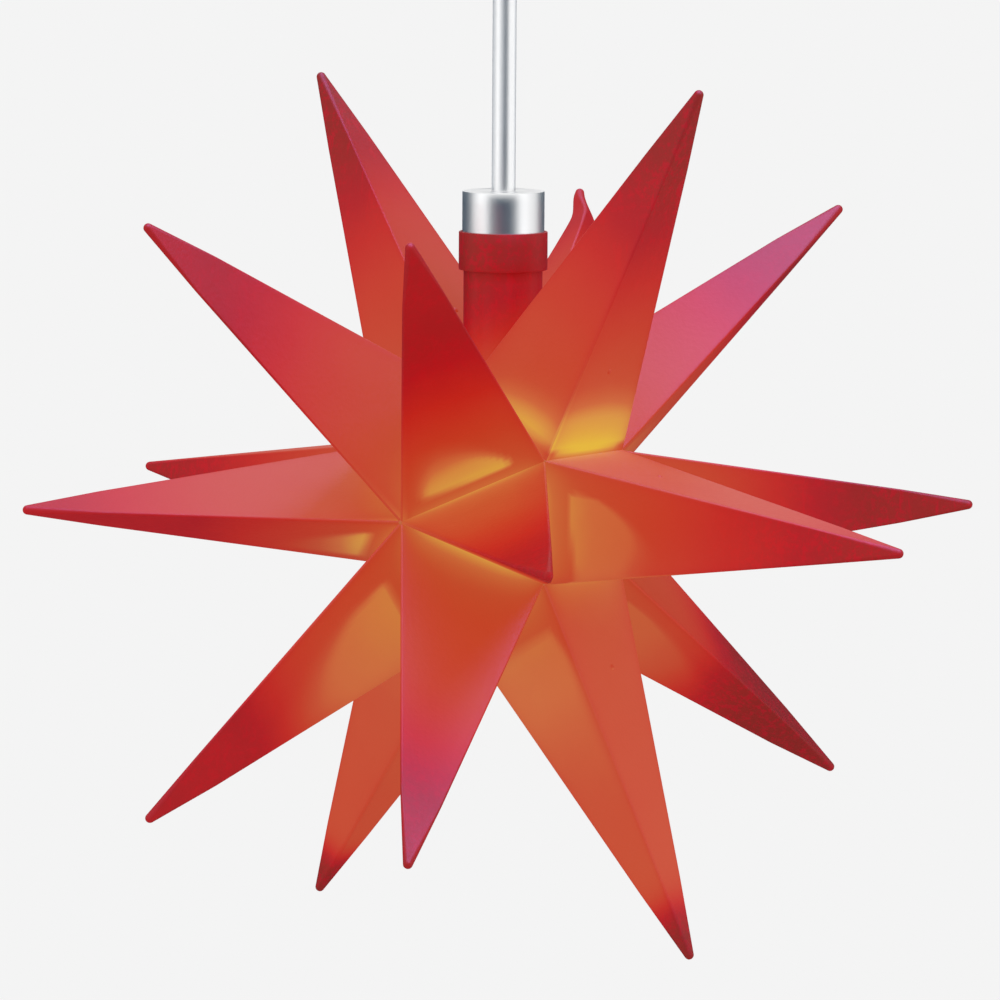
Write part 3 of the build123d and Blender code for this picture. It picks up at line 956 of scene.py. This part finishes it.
@dataclass
class Spike:
    """One hollow spike of the star, with its place worked out from the core."""

    ring: Ring
    hour: int
    corners: list[Vector]
    tip: Vector
    notched: bool = False
    bend: Vector = field(default_factory=Vector)

    @property
    def node(self) -> str:
        """The CAD node that the spike stands for."""
        return f"{self.ring.value}_spike_{self.hour}_oclock"

    @property
    def fade(self) -> Fade:
        """The fade of the spike's scattered light, its own or that of its kind."""
        tilt = "level" if abs(self.axis.z) < LEVEL_RISE else "upper" if self.axis.z > 0 else "lower"
        return FADES.get(f"{self.ring.value} {self.hour}") or FADES[f"{tilt} {self.ring.value}"]

    @property
    def axis(self) -> Vector:
        """The direction out of the base."""
        up = (self.corners[1] - self.corners[0]).cross(self.corners[2] - self.corners[1]).normalized()
        return up if up.dot(self.tip - self.corners[0]) > 0 else -up

    def share(self, points: np.ndarray) -> np.ndarray:
        """How far points are from the base, at 0, to the tip, at 1."""
        height = self.axis.dot(self.tip - self.corners[0])
        return np.clip((points - np.array(self.corners[0])) @ np.array(self.axis) / height, 0.0, 1.0)

    def window(self, inset: float) -> np.ndarray:
        """The corners of the window in the base.

        Args:
            inset: Distance from the base's edges.

        Returns:
            The corners as rows.
        """
        count = len(self.corners)
        middle = sum(self.corners, Vector()) / count
        found = []
        for k, corner in enumerate(self.corners):
            before = (corner - self.corners[k - 1]).normalized()
            after = (self.corners[(k + 1) % count] - corner).normalized()
            inward = [self.axis.cross(edge) for edge in (before, after)]
            inward = [i if i.dot(middle - corner) > 0 else -i for i in inward]
            found.append(corner + (inward[0] + inward[1]) * (inset / (1.0 + inward[0].dot(inward[1]))))
        return np.array(found)


class SpikeShape(Shape):
    """The tree that makes a hollow spike with rounded ridges on a flat base of some corners."""

    LENGTHS = {
        "tip_radius": "Tip Radius",
        "ridge_radius": "Ridge Radius",
        "foot": "Foot",
        "collar_depth": "Collar Depth",
        "collar_inset": "Collar Inset",
        "window_inset": "Window Inset",
        "notch_radius": "Notch Radius",
    }

    def __init__(self, sides: int, notched: bool, gate: int | None) -> None:
        """Builds the tree.

        Args:
            sides: The base's number of edges.
            notched: Whether the neck's tube is cut out of it.
            gate: The side with a small moulding mark, if there is one.
        """
        self.sides = sides
        corners = [f"Corner {k + 1}" for k in range(sides)]
        inputs = dict.fromkeys([*corners, "Tip", "Bend", "Notch Bottom"], "vector")
        inputs |= dict.fromkeys(self.LENGTHS.values(), "length")
        inputs |= {"Across": "count", "Rings": "count", "Material": "material"}
        super().__init__(f"spike_{sides}_sides" + "_notched" * notched, inputs)
        self._measure()
        shell = self._shell()
        if gate is not None:
            shell = self.nodes.value("GeometryNodeJoinGeometry", {}, {0: [shell, self._gate_mark(gate)]})
        if notched:
            shell = self._notch(shell)
        self.end(shell)

    def _measure(self) -> None:
        """Works out the axis, the sides' normals, the ridges and the corners' inward directions."""
        count = self.sides
        corners = [self.given(f"Corner {k + 1}") for k in range(count)]
        tip, radius = self.given("Tip"), self.given("Tip Radius")
        middle = sum(corners[1:], corners[0]) / float(count)
        up = (corners[1] - corners[0]).cross(corners[2] - corners[1]).unit()
        axis = up * up.dot(tip - corners[0]).sign()
        normals, inward = [], []
        for k, corner in enumerate(corners):
            edge = (corners[(k + 1) % count] - corner).unit()
            rise = tip - corner
            rise = rise - edge * rise.dot(edge)
            lean = radius / rise.length()
            out = edge.cross(rise.unit())
            out = out * out.dot(corner - middle).sign()
            normals.append(out * (1.0 - lean * lean).root() - rise.unit() * lean)
            side = axis.cross(edge)
            inward.append(side * side.dot(middle - corner).sign())
        ridges, diagonals, crests = [], [], []
        for k in range(count):
            line = normals[k - 1].cross(normals[k]).unit()
            ridges.append(line * (line.dot(axis).sign() * -1.0))
            crests.append((normals[k - 1] + normals[k]) * (1.0 / (1.0 + normals[k - 1].dot(normals[k]))))
            diagonals.append((inward[k - 1] + inward[k]) * (1.0 / (1.0 + inward[k - 1].dot(inward[k]))))
        self.corners, self.middle, self.tip, self.radius, self.axis = corners, middle, tip, radius, axis
        self.normals, self.ridges, self.crests, self.diagonals = normals, ridges, crests, diagonals
        self.thinned = radius - self.given("Ridge Radius")
        self.height = axis.dot(tip - corners[0])

    def _pick(self, index: Term, vectors: list[Term]) -> Term:
        """The vector of a list at an index."""
        settings = {"data_type": "VECTOR", "items": len(vectors)}
        return self.nodes.value("GeometryNodeIndexSwitch", settings, dict(enumerate([index, *vectors])))

    def _pair(self, index: Term, vectors: list[Term]) -> tuple[Term, Term]:
        """The vectors of a list at an index and after it."""
        return self._pick(index, vectors), self._pick(index, vectors[1:] + vectors[:1])

    def _sharpen(self, crest: Term, normal: Term) -> Term:
        """From a surface of that normal on the tip's radius out to the one on the ridge's smaller radius."""
        return (crest - normal) * self.thinned

    def _reach(self, ridge: Term, crest: Term, normal: Term) -> Term:
        """From the tip's centre along a ridge to where a surface of that normal meets the base's plane."""
        drop = self.height + self.axis.dot(normal * self.radius + self._sharpen(crest, normal))
        return ridge * (drop * -1.0 / ridge.dot(self.axis))

    def _grid(self, rows: Operand, grow: Callable[[Term], tuple[Term, dict[str, Term]]]) -> Term:
        """A grid round the spike that a rule puts in place.

        Args:
            rows: Its rows from one end to the other.
            grow: The rule, from the share of the rows to the place and the numbers to store.

        Returns:
            The mesh.
        """
        nodes, count = self.nodes, self.sides
        around = self.given("Across") * float(count) + 1.0
        sizes = {"Size X": 1.0, "Size Y": 1.0, "Vertices X": around, "Vertices Y": rows}
        mesh = nodes.value("GeometryNodeMeshGrid", {}, sizes)
        spot = nodes.value("GeometryNodeInputPosition")
        parts = nodes.add("ShaderNodeSeparateXYZ", {}, {0: spot})
        turn = (Term(nodes, parts.outputs[0]) + 0.5) * float(count)
        side = (turn + SIDE_SLACK).floor().least(count - 1.0)
        step = turn - side
        arc = (step / ARC_SHARE).clamp()
        flat = ((step - ARC_SHARE) / (1.0 - ARC_SHARE)).clamp()
        self.flat = flat
        before, normal = self._pair(side, self.normals[-1:] + self.normals[:-1])
        self.normal = before.toward(normal, arc).unit()
        ridge, after = self.ridge_line = self._pair(side, self.ridges)
        crest, next_crest = self._pair(side, self.crests)
        next_reach = self._reach(after, next_crest, normal)
        self.reach = self._reach(ridge, crest, self.normal).toward(next_reach, flat)
        self.sharpened = self._sharpen(crest, self.normal).toward(self._sharpen(next_crest, normal), flat)
        self.corner_at = [self._pair(side, points) for points in (self.corners, self.diagonals)]
        place, numbers = grow(Term(nodes, parts.outputs[1]) + 0.5)
        for name, value in numbers.items():
            settings = {"data_type": "FLOAT", "domain": "POINT"}
            sockets = {"Geometry": mesh, "Name": name, "Value": value}
            mesh = nodes.value("GeometryNodeStoreNamedAttribute", settings, sockets)
        return nodes.value("GeometryNodeSetPosition", {}, {"Geometry": mesh, "Position": place})

    def _outside(self, row: Term) -> tuple[Term, dict[str, Term]]:
        """The outer face, from the rounded tip down to the base.

        Args:
            row: The share of the rows.

        Returns:
            The place and the numbers to store.
        """
        cap = (row / CAP_SHARE).clamp()
        down = ((row - CAP_SHARE) / (1.0 - CAP_SHARE)).clamp()
        facing = self.axis.toward(self.normal, cap).unit()
        along = 1.0 - down
        bow = along.ease(BEND_START, BEND_TURN) - BEND_BACK * along.ease(BEND_TURN, 1.0)
        place = self.tip + self.reach * down + facing * self.radius + self.given("Bend") * bow
        place = place + self.sharpened * (down / SHARPENED_BY).clamp()
        return place, {"across": self.flat}

    def _inset(self, inset: Term, level: Operand) -> Term:
        """The outline of the base moved inwards.

        Args:
            inset: How far it is moved.
            level: Its level along the axis.

        Returns:
            The place.
        """
        (first, second), (first_way, second_way) = self.corner_at
        edge = (first + first_way * inset).toward(second + second_way * inset, self.flat)
        return edge + self.axis * level

    def _inside(self, row: Term) -> tuple[Term, dict[str, Term]]:
        """The foot, the collar below it and the cavity up to its point.

        Args:
            row: The share of the rows.

        Returns:
            The place and the numbers to store.
        """
        foot, depth = self.given("Foot"), self.given("Collar Depth") * -1.0
        collar, window = self.given("Collar Inset"), self.given("Window Inset")
        drop = self.height - foot
        cavity = [ridge * (drop * -1.0 / ridge.dot(self.axis)) for ridge in self.ridge_line]
        rings = [
            self.tip + self.reach + self.normal * self.radius + self.sharpened,
            self._inset(collar, 0.0),
            self._inset(collar, depth),
            self._inset(window, depth),
            self._inset(window, foot),
            self.tip + cavity[0].toward(cavity[1], self.flat),
            self.tip.toward(self.middle, BENT_CAVITY * self.given("Bend").length().sign()),
        ]
        index = (row * (INSIDE_ROWS - 1.0) + 0.5).floor()
        return self._pick(index, rings), {"across": self.flat}

    def _shell(self) -> Term:
        """The closed hollow spike.

        Returns:
            The mesh.
        """
        outside = self._grid(self.given("Rings"), self._outside)
        inside = self._grid(INSIDE_ROWS, self._inside)
        both = self.nodes.value("GeometryNodeJoinGeometry", {}, {0: [outside, inside]})
        return self.nodes.value("GeometryNodeMergeByDistance", {}, {"Geometry": both, "Distance": WELD})

    def _gate_mark(self, side: int) -> Term:
        """A small round mark of the mould.

        Args:
            side: The side that it is on.

        Returns:
            The mesh.
        """
        nodes, normal = self.nodes, self.normals[side]
        ends = [self._reach(self.ridges[k], self.crests[k], normal) for k in (side, (side + 1) % self.sides)]
        place = self.tip + ends[0].toward(ends[1], GATE_ACROSS) * GATE_DOWN + normal * self.radius
        sizes = {"Segments": 12, "Rings": 6, "Radius": GATE_RADIUS}
        ball = nodes.value("GeometryNodeMeshUVSphere", {}, sizes)
        turn = nodes.value("FunctionNodeAlignRotationToVector", {"axis": "Z"}, {"Vector": normal})
        moved = {"Geometry": ball, "Translation": place, "Rotation": turn, "Scale": (1.0, 1.0, GATE_FLAT)}
        return nodes.value("GeometryNodeTransform", {}, moved)

    def _notch(self, shell: Term) -> Term:
        """Cuts the neck's round tube out of the shell.

        Args:
            shell: The closed spike.

        Returns:
            The notched spike.
        """
        nodes = self.nodes
        sizes = {"Vertices": NOTCH_STEPS, "Radius": self.given("Notch Radius"), "Depth": NOTCH_DEPTH}
        tube = nodes.value("GeometryNodeMeshCylinder", {}, sizes)
        place = self.given("Notch Bottom") + (0.0, 0.0, NOTCH_DEPTH / 2)
        tube = nodes.value("GeometryNodeTransform", {}, {"Geometry": tube, "Translation": place})
        return nodes.value("GeometryNodeMeshBoolean", {"operation": "DIFFERENCE"}, {0: shell, 1: tube})


@dataclass
class Star(Assembly):
    """The eighteen spikes, their core and the neck."""

    lamp: Lamp
    foot: float = 1.2 * MM
    collar_inset: float = 4.15 * MM
    window_inset: float = 4.95 * MM
    collar_depth: float = 2.8 * MM
    tip_radius: float = 1.2 * MM
    ridge_radius: float = 0.45 * MM
    sharp_angle: float = 40.0
    notch_gap: float = 0.3 * MM
    bend: Vector = field(default_factory=lambda: Vector((1.10, 0.92, 0.0)) * MM)
    glow_window_inset: float = 4.85 * MM
    neck_radius: float = 10.0 * MM
    neck_wall: float = 1.0 * MM
    neck_edge: float = 0.3 * MM
    flange_lift: float = 2.5 * MM
    flange_reach: float = 1.2 * MM
    flange_thickness: float = 2.0 * MM
    bell_depth: float = 9.7 * MM
    bell_wall: float = 0.6 * MM
    bell_floor: float = 1.2 * MM
    neck_steps: int = 160
    neck_shade: float = 2.0
    neck_glow: float = 0.46
    neck_fade: float = 0.41
    neck_side_glow: float = 0.20
    neck_glow_limits: tuple = (0.02, 0.6)
    bell_dim: float = 0.6
    bell_shares: tuple = (0.9, 1.1)

    COATS = dict.fromkeys(("core_front_half", "core_back_half", "core_dowels"), Coat.core_plastic)

    def __post_init__(self) -> None:
        """Reads the core's and the spikes' sizes from the frame."""
        low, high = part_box("core_front_half")
        self.corner_radius = (high.z - low.z) / 2
        self.centre = Vector((0.0, 0.0, (low.z + high.z) / 2))
        self.pole_reach = -low.y
        self.half_depth = -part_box("rim_spike_3_oclock")[0].y
        self.rim_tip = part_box("rim_spike_3_oclock")[1].x - self.tip_radius
        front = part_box("front_spike_3_oclock")
        self.pole_tip = (front[1].x - self.tip_radius, front[0].y + self.tip_radius)
        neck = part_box("neck")
        self.neck_bottom, self.neck_top = neck[0].z, neck[1].z
        self.bell_radius = neck[1].x
        self.notch_radius = self.neck_radius + self.notch_gap

    def _at(self, azimuth: float, radius: float, depth: float) -> Vector:
        """The point at some degrees from +X towards +Z, off the front-to-back axis and along it to +Y."""
        turn = math.radians(azimuth)
        return self.centre + Vector((radius * math.cos(turn), depth, radius * math.sin(turn)))

    def spikes(self) -> list[Spike]:
        """Puts all spikes in their places.

        Returns:
            The spikes.
        """
        found = []
        half = SECTOR / 2
        for azimuth in range(0, 360, SECTOR):
            hour = round(2 - azimuth / HOUR) % 12 + 1
            rim = [
                self._at(azimuth + turn, self.corner_radius, way * self.half_depth)
                for turn, way in ((-half, -1.0), (half, -1.0), (half, 1.0), (-half, 1.0))
            ]
            tip = self._at(azimuth, self.rim_tip, 0.0)
            found.append(Spike(Ring.RIM, hour, rim, tip, notched=hour in NOTCHED_HOURS))
            for ring, way in ((Ring.FRONT, -1.0), (Ring.BACK, 1.0)):
                base = [
                    self._at(0.0, 0.0, way * self.pole_reach),
                    self._at(azimuth - way * half, self.corner_radius, way * self.half_depth),
                    self._at(azimuth + way * half, self.corner_radius, way * self.half_depth),
                ]
                tip = self._at(azimuth, self.pole_tip[0], -way * self.pole_tip[1])
                bend = self.bend if ring is Ring.BACK and hour == BENT_HOUR else Vector()
                found.append(Spike(ring, hour, base, tip, bend=bend))
        return found

    def build(self) -> None:
        """Makes the spikes and the neck."""
        shapes = {
            (4, False): SpikeShape(4, False, 1),
            (4, True): SpikeShape(4, True, 3),
            (3, False): SpikeShape(3, False, None),
        }
        for spike in self.spikes():
            self._make(spike, shapes[len(spike.corners), spike.notched])
        self._make_neck()

    def _make(self, spike: Spike, shape: SpikeShape) -> None:
        """Grows one spike and paints its glow.

        Args:
            spike: The spike.
            shape: The tree for its number of sides.
        """
        values = {f"Corner {k + 1}": corner for k, corner in enumerate(spike.corners)}
        values |= {label: getattr(self, size) for size, label in shape.LENGTHS.items()}
        values |= {
            "Tip": spike.tip,
            "Bend": spike.bend,
            "Notch Bottom": Vector((0.0, 0.0, self.neck_bottom)),
            "Across": ACROSS_STEPS,
            "Rings": SPIKE_ROWS,
            "Material": Coat.star_plastic.material,
        }
        piece = shape.grow(f"glowing_{spike.ring.value}_spike_{spike.hour}", values)
        mesh = piece.data
        mesh.shade_smooth()
        mesh.set_sharp_from_angle(angle=math.radians(self.sharp_angle))
        points, normals = (numbers_of(mesh.vertices, name, 3) for name in ("co", "normal"))
        across = numbers_of(mesh.attributes["across"].data, "value", 1)[:, 0]
        set_numbers(mesh, "glow", self._glow(spike, points, normals, across))
        set_numbers(mesh, "mottle", np.full(len(across), spike.fade.mottle))
        piece.visible_glossy = not spike.notched
        take_over(piece, spike.node, Coat.star_plastic)

    def _glow(self, spike: Spike, points: np.ndarray, normals: np.ndarray, across: np.ndarray) -> np.ndarray:
        """The painted glow: how strongly the lamp shines through a spike's wall.

        Args:
            spike: The spike.
            points: Points on its wall.
            normals: Their outward normals.
            across: Their way across a side, 0 to 1.

        Returns:
            The glow at each point, 0 to 1.
        """
        direct = self.lamp.through(spike.window(self.glow_window_inset), points, normals)
        # painted shadow of the neck's tube on the lamp's direct light
        if spike.notched:
            off_axis = np.hypot(points[:, 0], points[:, 1])
            direct *= smooth_step(self.neck_radius, self.neck_shade * self.neck_radius, off_axis)
        return spike.fade.level(spike.share(points), across, direct, normals[:, 2])

    def _make_neck(self) -> None:
        """Turns the neck's tube with its flange and its bell, and paints glow on it that fades upward from
        below and is stronger on its +X side.
        """
        radius, bore, bell = self.neck_radius, self.neck_radius - self.neck_wall, self.bell_radius
        bell_low, flange_low = self.neck_top - self.bell_depth, self.neck_bottom + self.flange_lift
        flange, flange_high = radius + self.flange_reach, flange_low + self.flange_thickness
        bell_bore, bell_floor = bell - self.bell_wall, bell_low + self.bell_floor
        profile = [(bore, self.neck_bottom), (radius, self.neck_bottom)]
        profile += [(radius, flange_low), (flange, flange_low), (flange, flange_high), (radius, flange_high)]
        profile += [(radius, bell_low), (bell, bell_low), (bell, self.neck_top)]
        profile += [(bell_bore, self.neck_top), (bell_bore, bell_floor), (bore, bell_floor)]
        profile = bevelled(profile, self.neck_edge)
        piece = revolved("glowing_neck", profile, self.neck_steps, Coat.star_plastic)
        points = numbers_of(piece.data.vertices, "co", 3)
        foot = self.centre.z + self.corner_radius
        share = (points[:, 2] - foot) / (bell_low - foot)
        side = (points[:, 0] / radius + 1.0) / 2.0
        fade = self.neck_fade * smooth_step(0.0, self.bell_shares[0], share)
        # painted light: more glow on the neck's +X side, dimmed on the bell
        side_glow = self.neck_side_glow * side * (1.0 - self.bell_dim * smooth_step(*self.bell_shares, share))
        set_numbers(piece.data, "glow", np.clip(self.neck_glow - fade + side_glow, *self.neck_glow_limits))
        set_numbers(piece.data, "across", np.full(len(points), 0.5))
        set_numbers(piece.data, "mottle", np.ones(len(points)))
        take_over(piece, "neck", Coat.star_plastic)


@dataclass
class Pendant(Assembly):
    """The cap, the stem and what is inside them."""

    edge: float = 0.25 * MM
    cap_wall: float = 1.9 * MM
    cap_top_thickness: float = 2.0 * MM
    stem_wall: float = 0.6 * MM
    stem_gap: float = 0.02 * MM
    groove_play: float = 0.1 * MM
    groove_depth: float = 1.05 * MM
    cap_steps: int = 160
    stem_steps: int = 96

    COATS = {
        "lampholder": Coat.holder_plastic,
        "lampholder_contacts": Coat.contact_brass,
        "stem_head": Coat.zinc_steel,
        "stem_nut": Coat.zinc_steel,
        "supply_wires": Coat.wire_insulation,
        "wire_ferrules": Coat.zinc_steel,
        "cap_ring": Coat.ring_rubber,
    }

    def build(self) -> None:
        """Turns the cap and the stem."""
        self._make_cap()
        self._make_stem()

    def _make_cap(self) -> None:
        """Turns the cap, with its ring groove and the stem's hole."""
        low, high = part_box("cap")
        ring_low, ring_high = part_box("cap_ring")
        radius, bore = high.x, high.x - self.cap_wall
        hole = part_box("hanger_stem")[1].x + self.stem_gap
        groove, under = radius - self.groove_depth, high.z - self.cap_top_thickness
        groove_low, groove_high = ring_low.z - self.groove_play, ring_high.z + self.groove_play
        profile = [(bore, low.z), (radius, low.z)]
        profile += [(radius, groove_low), (groove, groove_low), (groove, groove_high), (radius, groove_high)]
        profile += [(radius, high.z), (hole, high.z), (hole, under), (bore, under)]
        piece = revolved("turned_cap", bevelled(profile, self.edge), self.cap_steps, Coat.cap_metal)
        take_over(piece, "cap", Coat.cap_metal)

    def _make_stem(self) -> None:
        """Draws the stem's tube."""
        low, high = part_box("hanger_stem")
        radius, bore = high.x, high.x - self.stem_wall
        profile = [(bore, low.z), (radius, low.z), (radius, high.z), (bore, high.z)]
        piece = revolved("drawn_stem", bevelled(profile, self.edge / 2), self.stem_steps, Coat.stem_metal)
        take_over(piece, "hanger_stem", Coat.stem_metal)


@dataclass
class CeilingFitting(Assembly):
    """The canopy with its bracket, screws and pivot."""

    edge: float = 0.2 * MM
    canopy_wall: float = 1.0 * MM
    canopy_round: float = 4.0 * MM
    round_steps: int = 10
    canopy_steps: int = 192
    swing_hole: float = 7.475 * MM

    COATS = dict.fromkeys(("canopy_screws", "ceiling_bracket", "pivot_pin", "pivot_clip"), Coat.zinc_steel)

    def build(self) -> None:
        """Spins the canopy's cup, with its rounded lower edge and the hole that the stem swings in."""
        low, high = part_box("canopy")
        radius, wall, bend = high.y, self.canopy_wall, self.canopy_round
        turns = [math.pi / 2 * k / self.round_steps for k in range(self.round_steps + 1)]
        rise = [(math.sin(t), 1.0 - math.cos(t)) for t in turns]
        outside = [(radius - bend + bend * x, low.z + bend * z) for x, z in rise]
        inside = [(radius - bend + (bend - wall) * x, low.z + wall + (bend - wall) * z) for x, z in rise]
        back = inside[::-1]
        rim = bevelled([(radius, high.z), (radius - wall, high.z), *back, outside[-1]], self.edge)[:6]
        profile = [(self.swing_hole, low.z), *outside, *rim, *back, (self.swing_hole, low.z + wall)]
        piece = revolved("spun_canopy", profile, self.canopy_steps, Coat.canopy_metal)
        take_over(piece, "canopy", Coat.canopy_metal)


METAL_PIECES = ("turned_cap", "drawn_stem", "spun_canopy")


@dataclass(frozen=True)
class SoftBox:
    """A soft studio light for some of the pieces.

    Its place is metres to the camera's right, towards the camera and up. It faces down, or level at a height.
    """

    name: str
    size: tuple[float, float]
    place: tuple[float, float, float]
    aim: float | None
    level: float
    pieces: tuple[str, ...]
    colour: tuple[float, float, float] = WHITE
    left_out: tuple[str, ...] = ()


@dataclass
class Studio:
    """Floor, light and camera."""

    centre: Vector
    background: float = 0.905
    daylight: float = 0.92
    paper: float = 0.9
    paper_share: float = 0.15
    flag_colour: tuple = (0.010, 0.042, 0.075)
    flag_radius: float = 1.1
    flag_low: float = -0.75
    flag_steps: int = 48
    flag_arcs: dict[str, tuple[float, float, float]] = field(
        default_factory=lambda: {
            "front_flag": (-40.0, 38.0, 0.12),
            "back_right_flag": (110.0, 167.0, 0.40),
            "back_flag": (167.0, 187.0, 0.05),
            "back_left_flag": (187.0, 264.0, 0.40),
            "lower_flag": (0.0, 360.0, 0.12),
        }
    )
    soft_boxes: tuple[SoftBox, ...] = (
        SoftBox(
            "overhead_box", (1.5, 1.2), (0.22, 0.35, 0.85), None, 11.0, ("glowing_",),
            colour=(0.42, 0.42, 1.0), left_out=("glowing_front_spike_3",),
        ),
        SoftBox("left_box", (0.5, 1.4), (-0.95, 0.50, -0.2), -0.15, 0.42, METAL_PIECES),
        SoftBox("right_box", (0.5, 1.4), (0.95, 0.62, -0.2), -0.15, 0.42, METAL_PIECES),
        SoftBox("front_left_box", (0.5, 1.2), (-0.42, 0.90, -0.15), -0.1, 0.6, ("drawn_stem",)),
        SoftBox("back_left_box", (0.9, 1.2), (-0.87, -0.50, -0.25), -0.1, 0.6, ("drawn_stem",)),
        SoftBox("back_right_box", (0.9, 1.2), (0.87, -0.50, -0.25), -0.1, 0.6, ("drawn_stem",)),
    )
    floor_level: float = -2.4
    floor_half: float = 60.0
    azimuth: float = 39.84
    elevation: float = 7.54
    roll: float = 0.36
    distance: float = 1.2927
    aside: float = -0.00039
    lift: float = 0.00183
    lens: float = 182.65
    sensor: float = 36.0
    clip_end: float = 500.0

    def build(self) -> None:
        """Sets up the whole studio."""
        bpy.context.scene.view_settings.view_transform = "Standard"
        self._world()
        self._floor()
        self._flags()
        for box in self.soft_boxes:
            self._hang(box)
        self._camera()
        log.info("studio is set up")

    def _shown(self, nodes: Nodes) -> Term:
        """Tells rays that show the background from rays that light.

        Args:
            nodes: The tree of the world or of a material.

        Returns:
            1 in view, in gloss or through glass, and 0 for light.
        """
        path = nodes.add("ShaderNodeLightPath")
        rays = ("Is Camera Ray", "Is Glossy Ray", "Is Transmission Ray")
        view, gloss, glass = (Term(nodes, path.outputs[ray]) for ray in rays)
        return (view + gloss + glass).clamp()

    def _world(self) -> None:
        """An even white surround."""
        world = bpy.data.worlds.new("pale_surround")
        bpy.context.scene.world = world
        nodes = fresh_nodes(world)
        strength = self.daylight + (self.background - self.daylight) * self._shown(nodes)
        light = nodes.value("ShaderNodeBackground", {}, {"Color": (*WHITE, 1.0), "Strength": strength})
        nodes.add("ShaderNodeOutputWorld", {}, {"Surface": light})

    def _floor(self) -> None:
        """A wide pale floor that takes the shadow."""
        half, level = self.floor_half, self.floor_level
        made = bpy.data.materials.new("pale_floor")
        nodes = fresh_nodes(made)
        paper = nodes.value("ShaderNodeBsdfDiffuse", {}, {"Color": (self.paper, self.paper, self.paper, 1.0)})
        rest = self.background - self.paper_share * self.paper * self.daylight
        strength = rest / (1.0 - self.paper_share)
        shine = nodes.value("ShaderNodeEmission", {}, {"Color": (*WHITE, 1.0), "Strength": strength})
        share = (1.0 - self.paper_share) * self._shown(nodes)
        mixed = nodes.value("ShaderNodeMixShader", {}, {0: share, 1: paper, 2: shine})
        nodes.add("ShaderNodeOutputMaterial", {}, {"Surface": mixed})
        corners = [(-half, -half, level), (half, -half, level), (half, half, level), (-half, half, level)]
        floor = mesh_object("floor", corners, [(0, 1, 2, 3)], made)
        floor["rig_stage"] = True

    def _flags(self) -> None:
        """Dark screens that only gloss shows: in front of the star, round its back and below it."""
        made = bpy.data.materials.new("dark_screen")
        nodes = fresh_nodes(made)
        dark = nodes.value("ShaderNodeEmission", {}, {"Color": (*self.flag_colour, 1.0), "Strength": 1.0})
        nodes.add("ShaderNodeOutputMaterial", {}, {"Surface": dark})
        steps = self.flag_steps
        for name, (start, end, top) in self.flag_arcs.items():
            turns = [math.radians(self.azimuth + start + (end - start) * k / steps) for k in range(steps + 1)]
            foot = [(self.flag_radius * math.sin(t), -self.flag_radius * math.cos(t)) for t in turns]
            points = [(x, y, z) for z in (self.flag_low, top) for x, y in foot]
            faces = [(k, k + 1, k + steps + 2, k + steps + 1) for k in range(steps)]
            if end - start == 360.0:
                points, faces = points[:steps], [tuple(range(steps))]
            flag = mesh_object(name, points, faces, made)
            for rays in ("camera", "diffuse", "transmission", "shadow", "volume_scatter"):
                setattr(flag, f"visible_{rays}", False)
            flag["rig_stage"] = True

    def _hang(self, box: SoftBox) -> None:
        """Hangs one soft light, which only the gloss of its pieces shows.

        Args:
            box: The light.
        """
        data = bpy.data.lights.new(box.name, "AREA")
        data.shape = "RECTANGLE"
        data.size, data.size_y = box.size
        data.color = box.colour
        data.energy = math.pi * data.size * data.size_y * box.level
        light = bpy.data.objects.new(box.name, data)
        turn = math.radians(self.azimuth)
        right = Vector((math.cos(turn), math.sin(turn), 0.0))
        near = Vector((math.sin(turn), -math.cos(turn), 0.0))
        aside, ahead, height = box.place
        light.location = right * aside + near * ahead + Vector((0.0, 0.0, height))
        way = Vector((0.0, 0.0, -1.0)) if box.aim is None else Vector((0.0, 0.0, box.aim)) - light.location
        light.rotation_euler = way.to_track_quat("-Z", "Y").to_euler()
        light.visible_diffuse = False
        bpy.context.scene.collection.objects.link(light)
        receivers = bpy.data.collections.new(f"lit_by_{box.name}")
        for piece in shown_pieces():
            if piece.name.startswith(box.pieces) and piece.name not in box.left_out:
                receivers.objects.link(piece)
        light.light_linking.receiver_collection = receivers

    def _camera(self) -> None:
        """The camera at the photograph's angle."""
        turn, rise, roll = (math.radians(a) for a in (self.azimuth, self.elevation, self.roll))
        back = Vector((math.sin(turn) * math.cos(rise), -math.cos(turn) * math.cos(rise), math.sin(rise)))
        right = Vector((math.cos(turn), math.sin(turn), 0.0))
        up = back.cross(right)
        across = right * math.cos(roll) + up * math.sin(roll)
        upward = up * math.cos(roll) - right * math.sin(roll)
        data = bpy.data.cameras.new("camera")
        data.lens, data.sensor_width = self.lens, self.sensor
        data.clip_end = self.clip_end
        camera = bpy.data.objects.new("camera", data)
        spot = self.centre + back * self.distance + across * self.aside + upward * self.lift
        axes = Matrix((across, upward, back)).transposed().to_4x4()
        camera.matrix_world = Matrix.Translation(spot) @ axes
        bpy.context.scene.collection.objects.link(camera)
        bpy.context.scene.camera = camera


def main() -> None:
    """Builds every sub-assembly in order, then the studio, and notes the sizes."""
    logging.basicConfig(level=logging.INFO, format="%(name)s: %(message)s")
    lamp = Lamp()
    star = Star(lamp)
    for assembly in (lamp, star, Pendant(), CeilingFitting()):
        assembly.build()
        assembly.dress()
    Studio(star.centre).build()


if __name__ == "__main__":
    main()
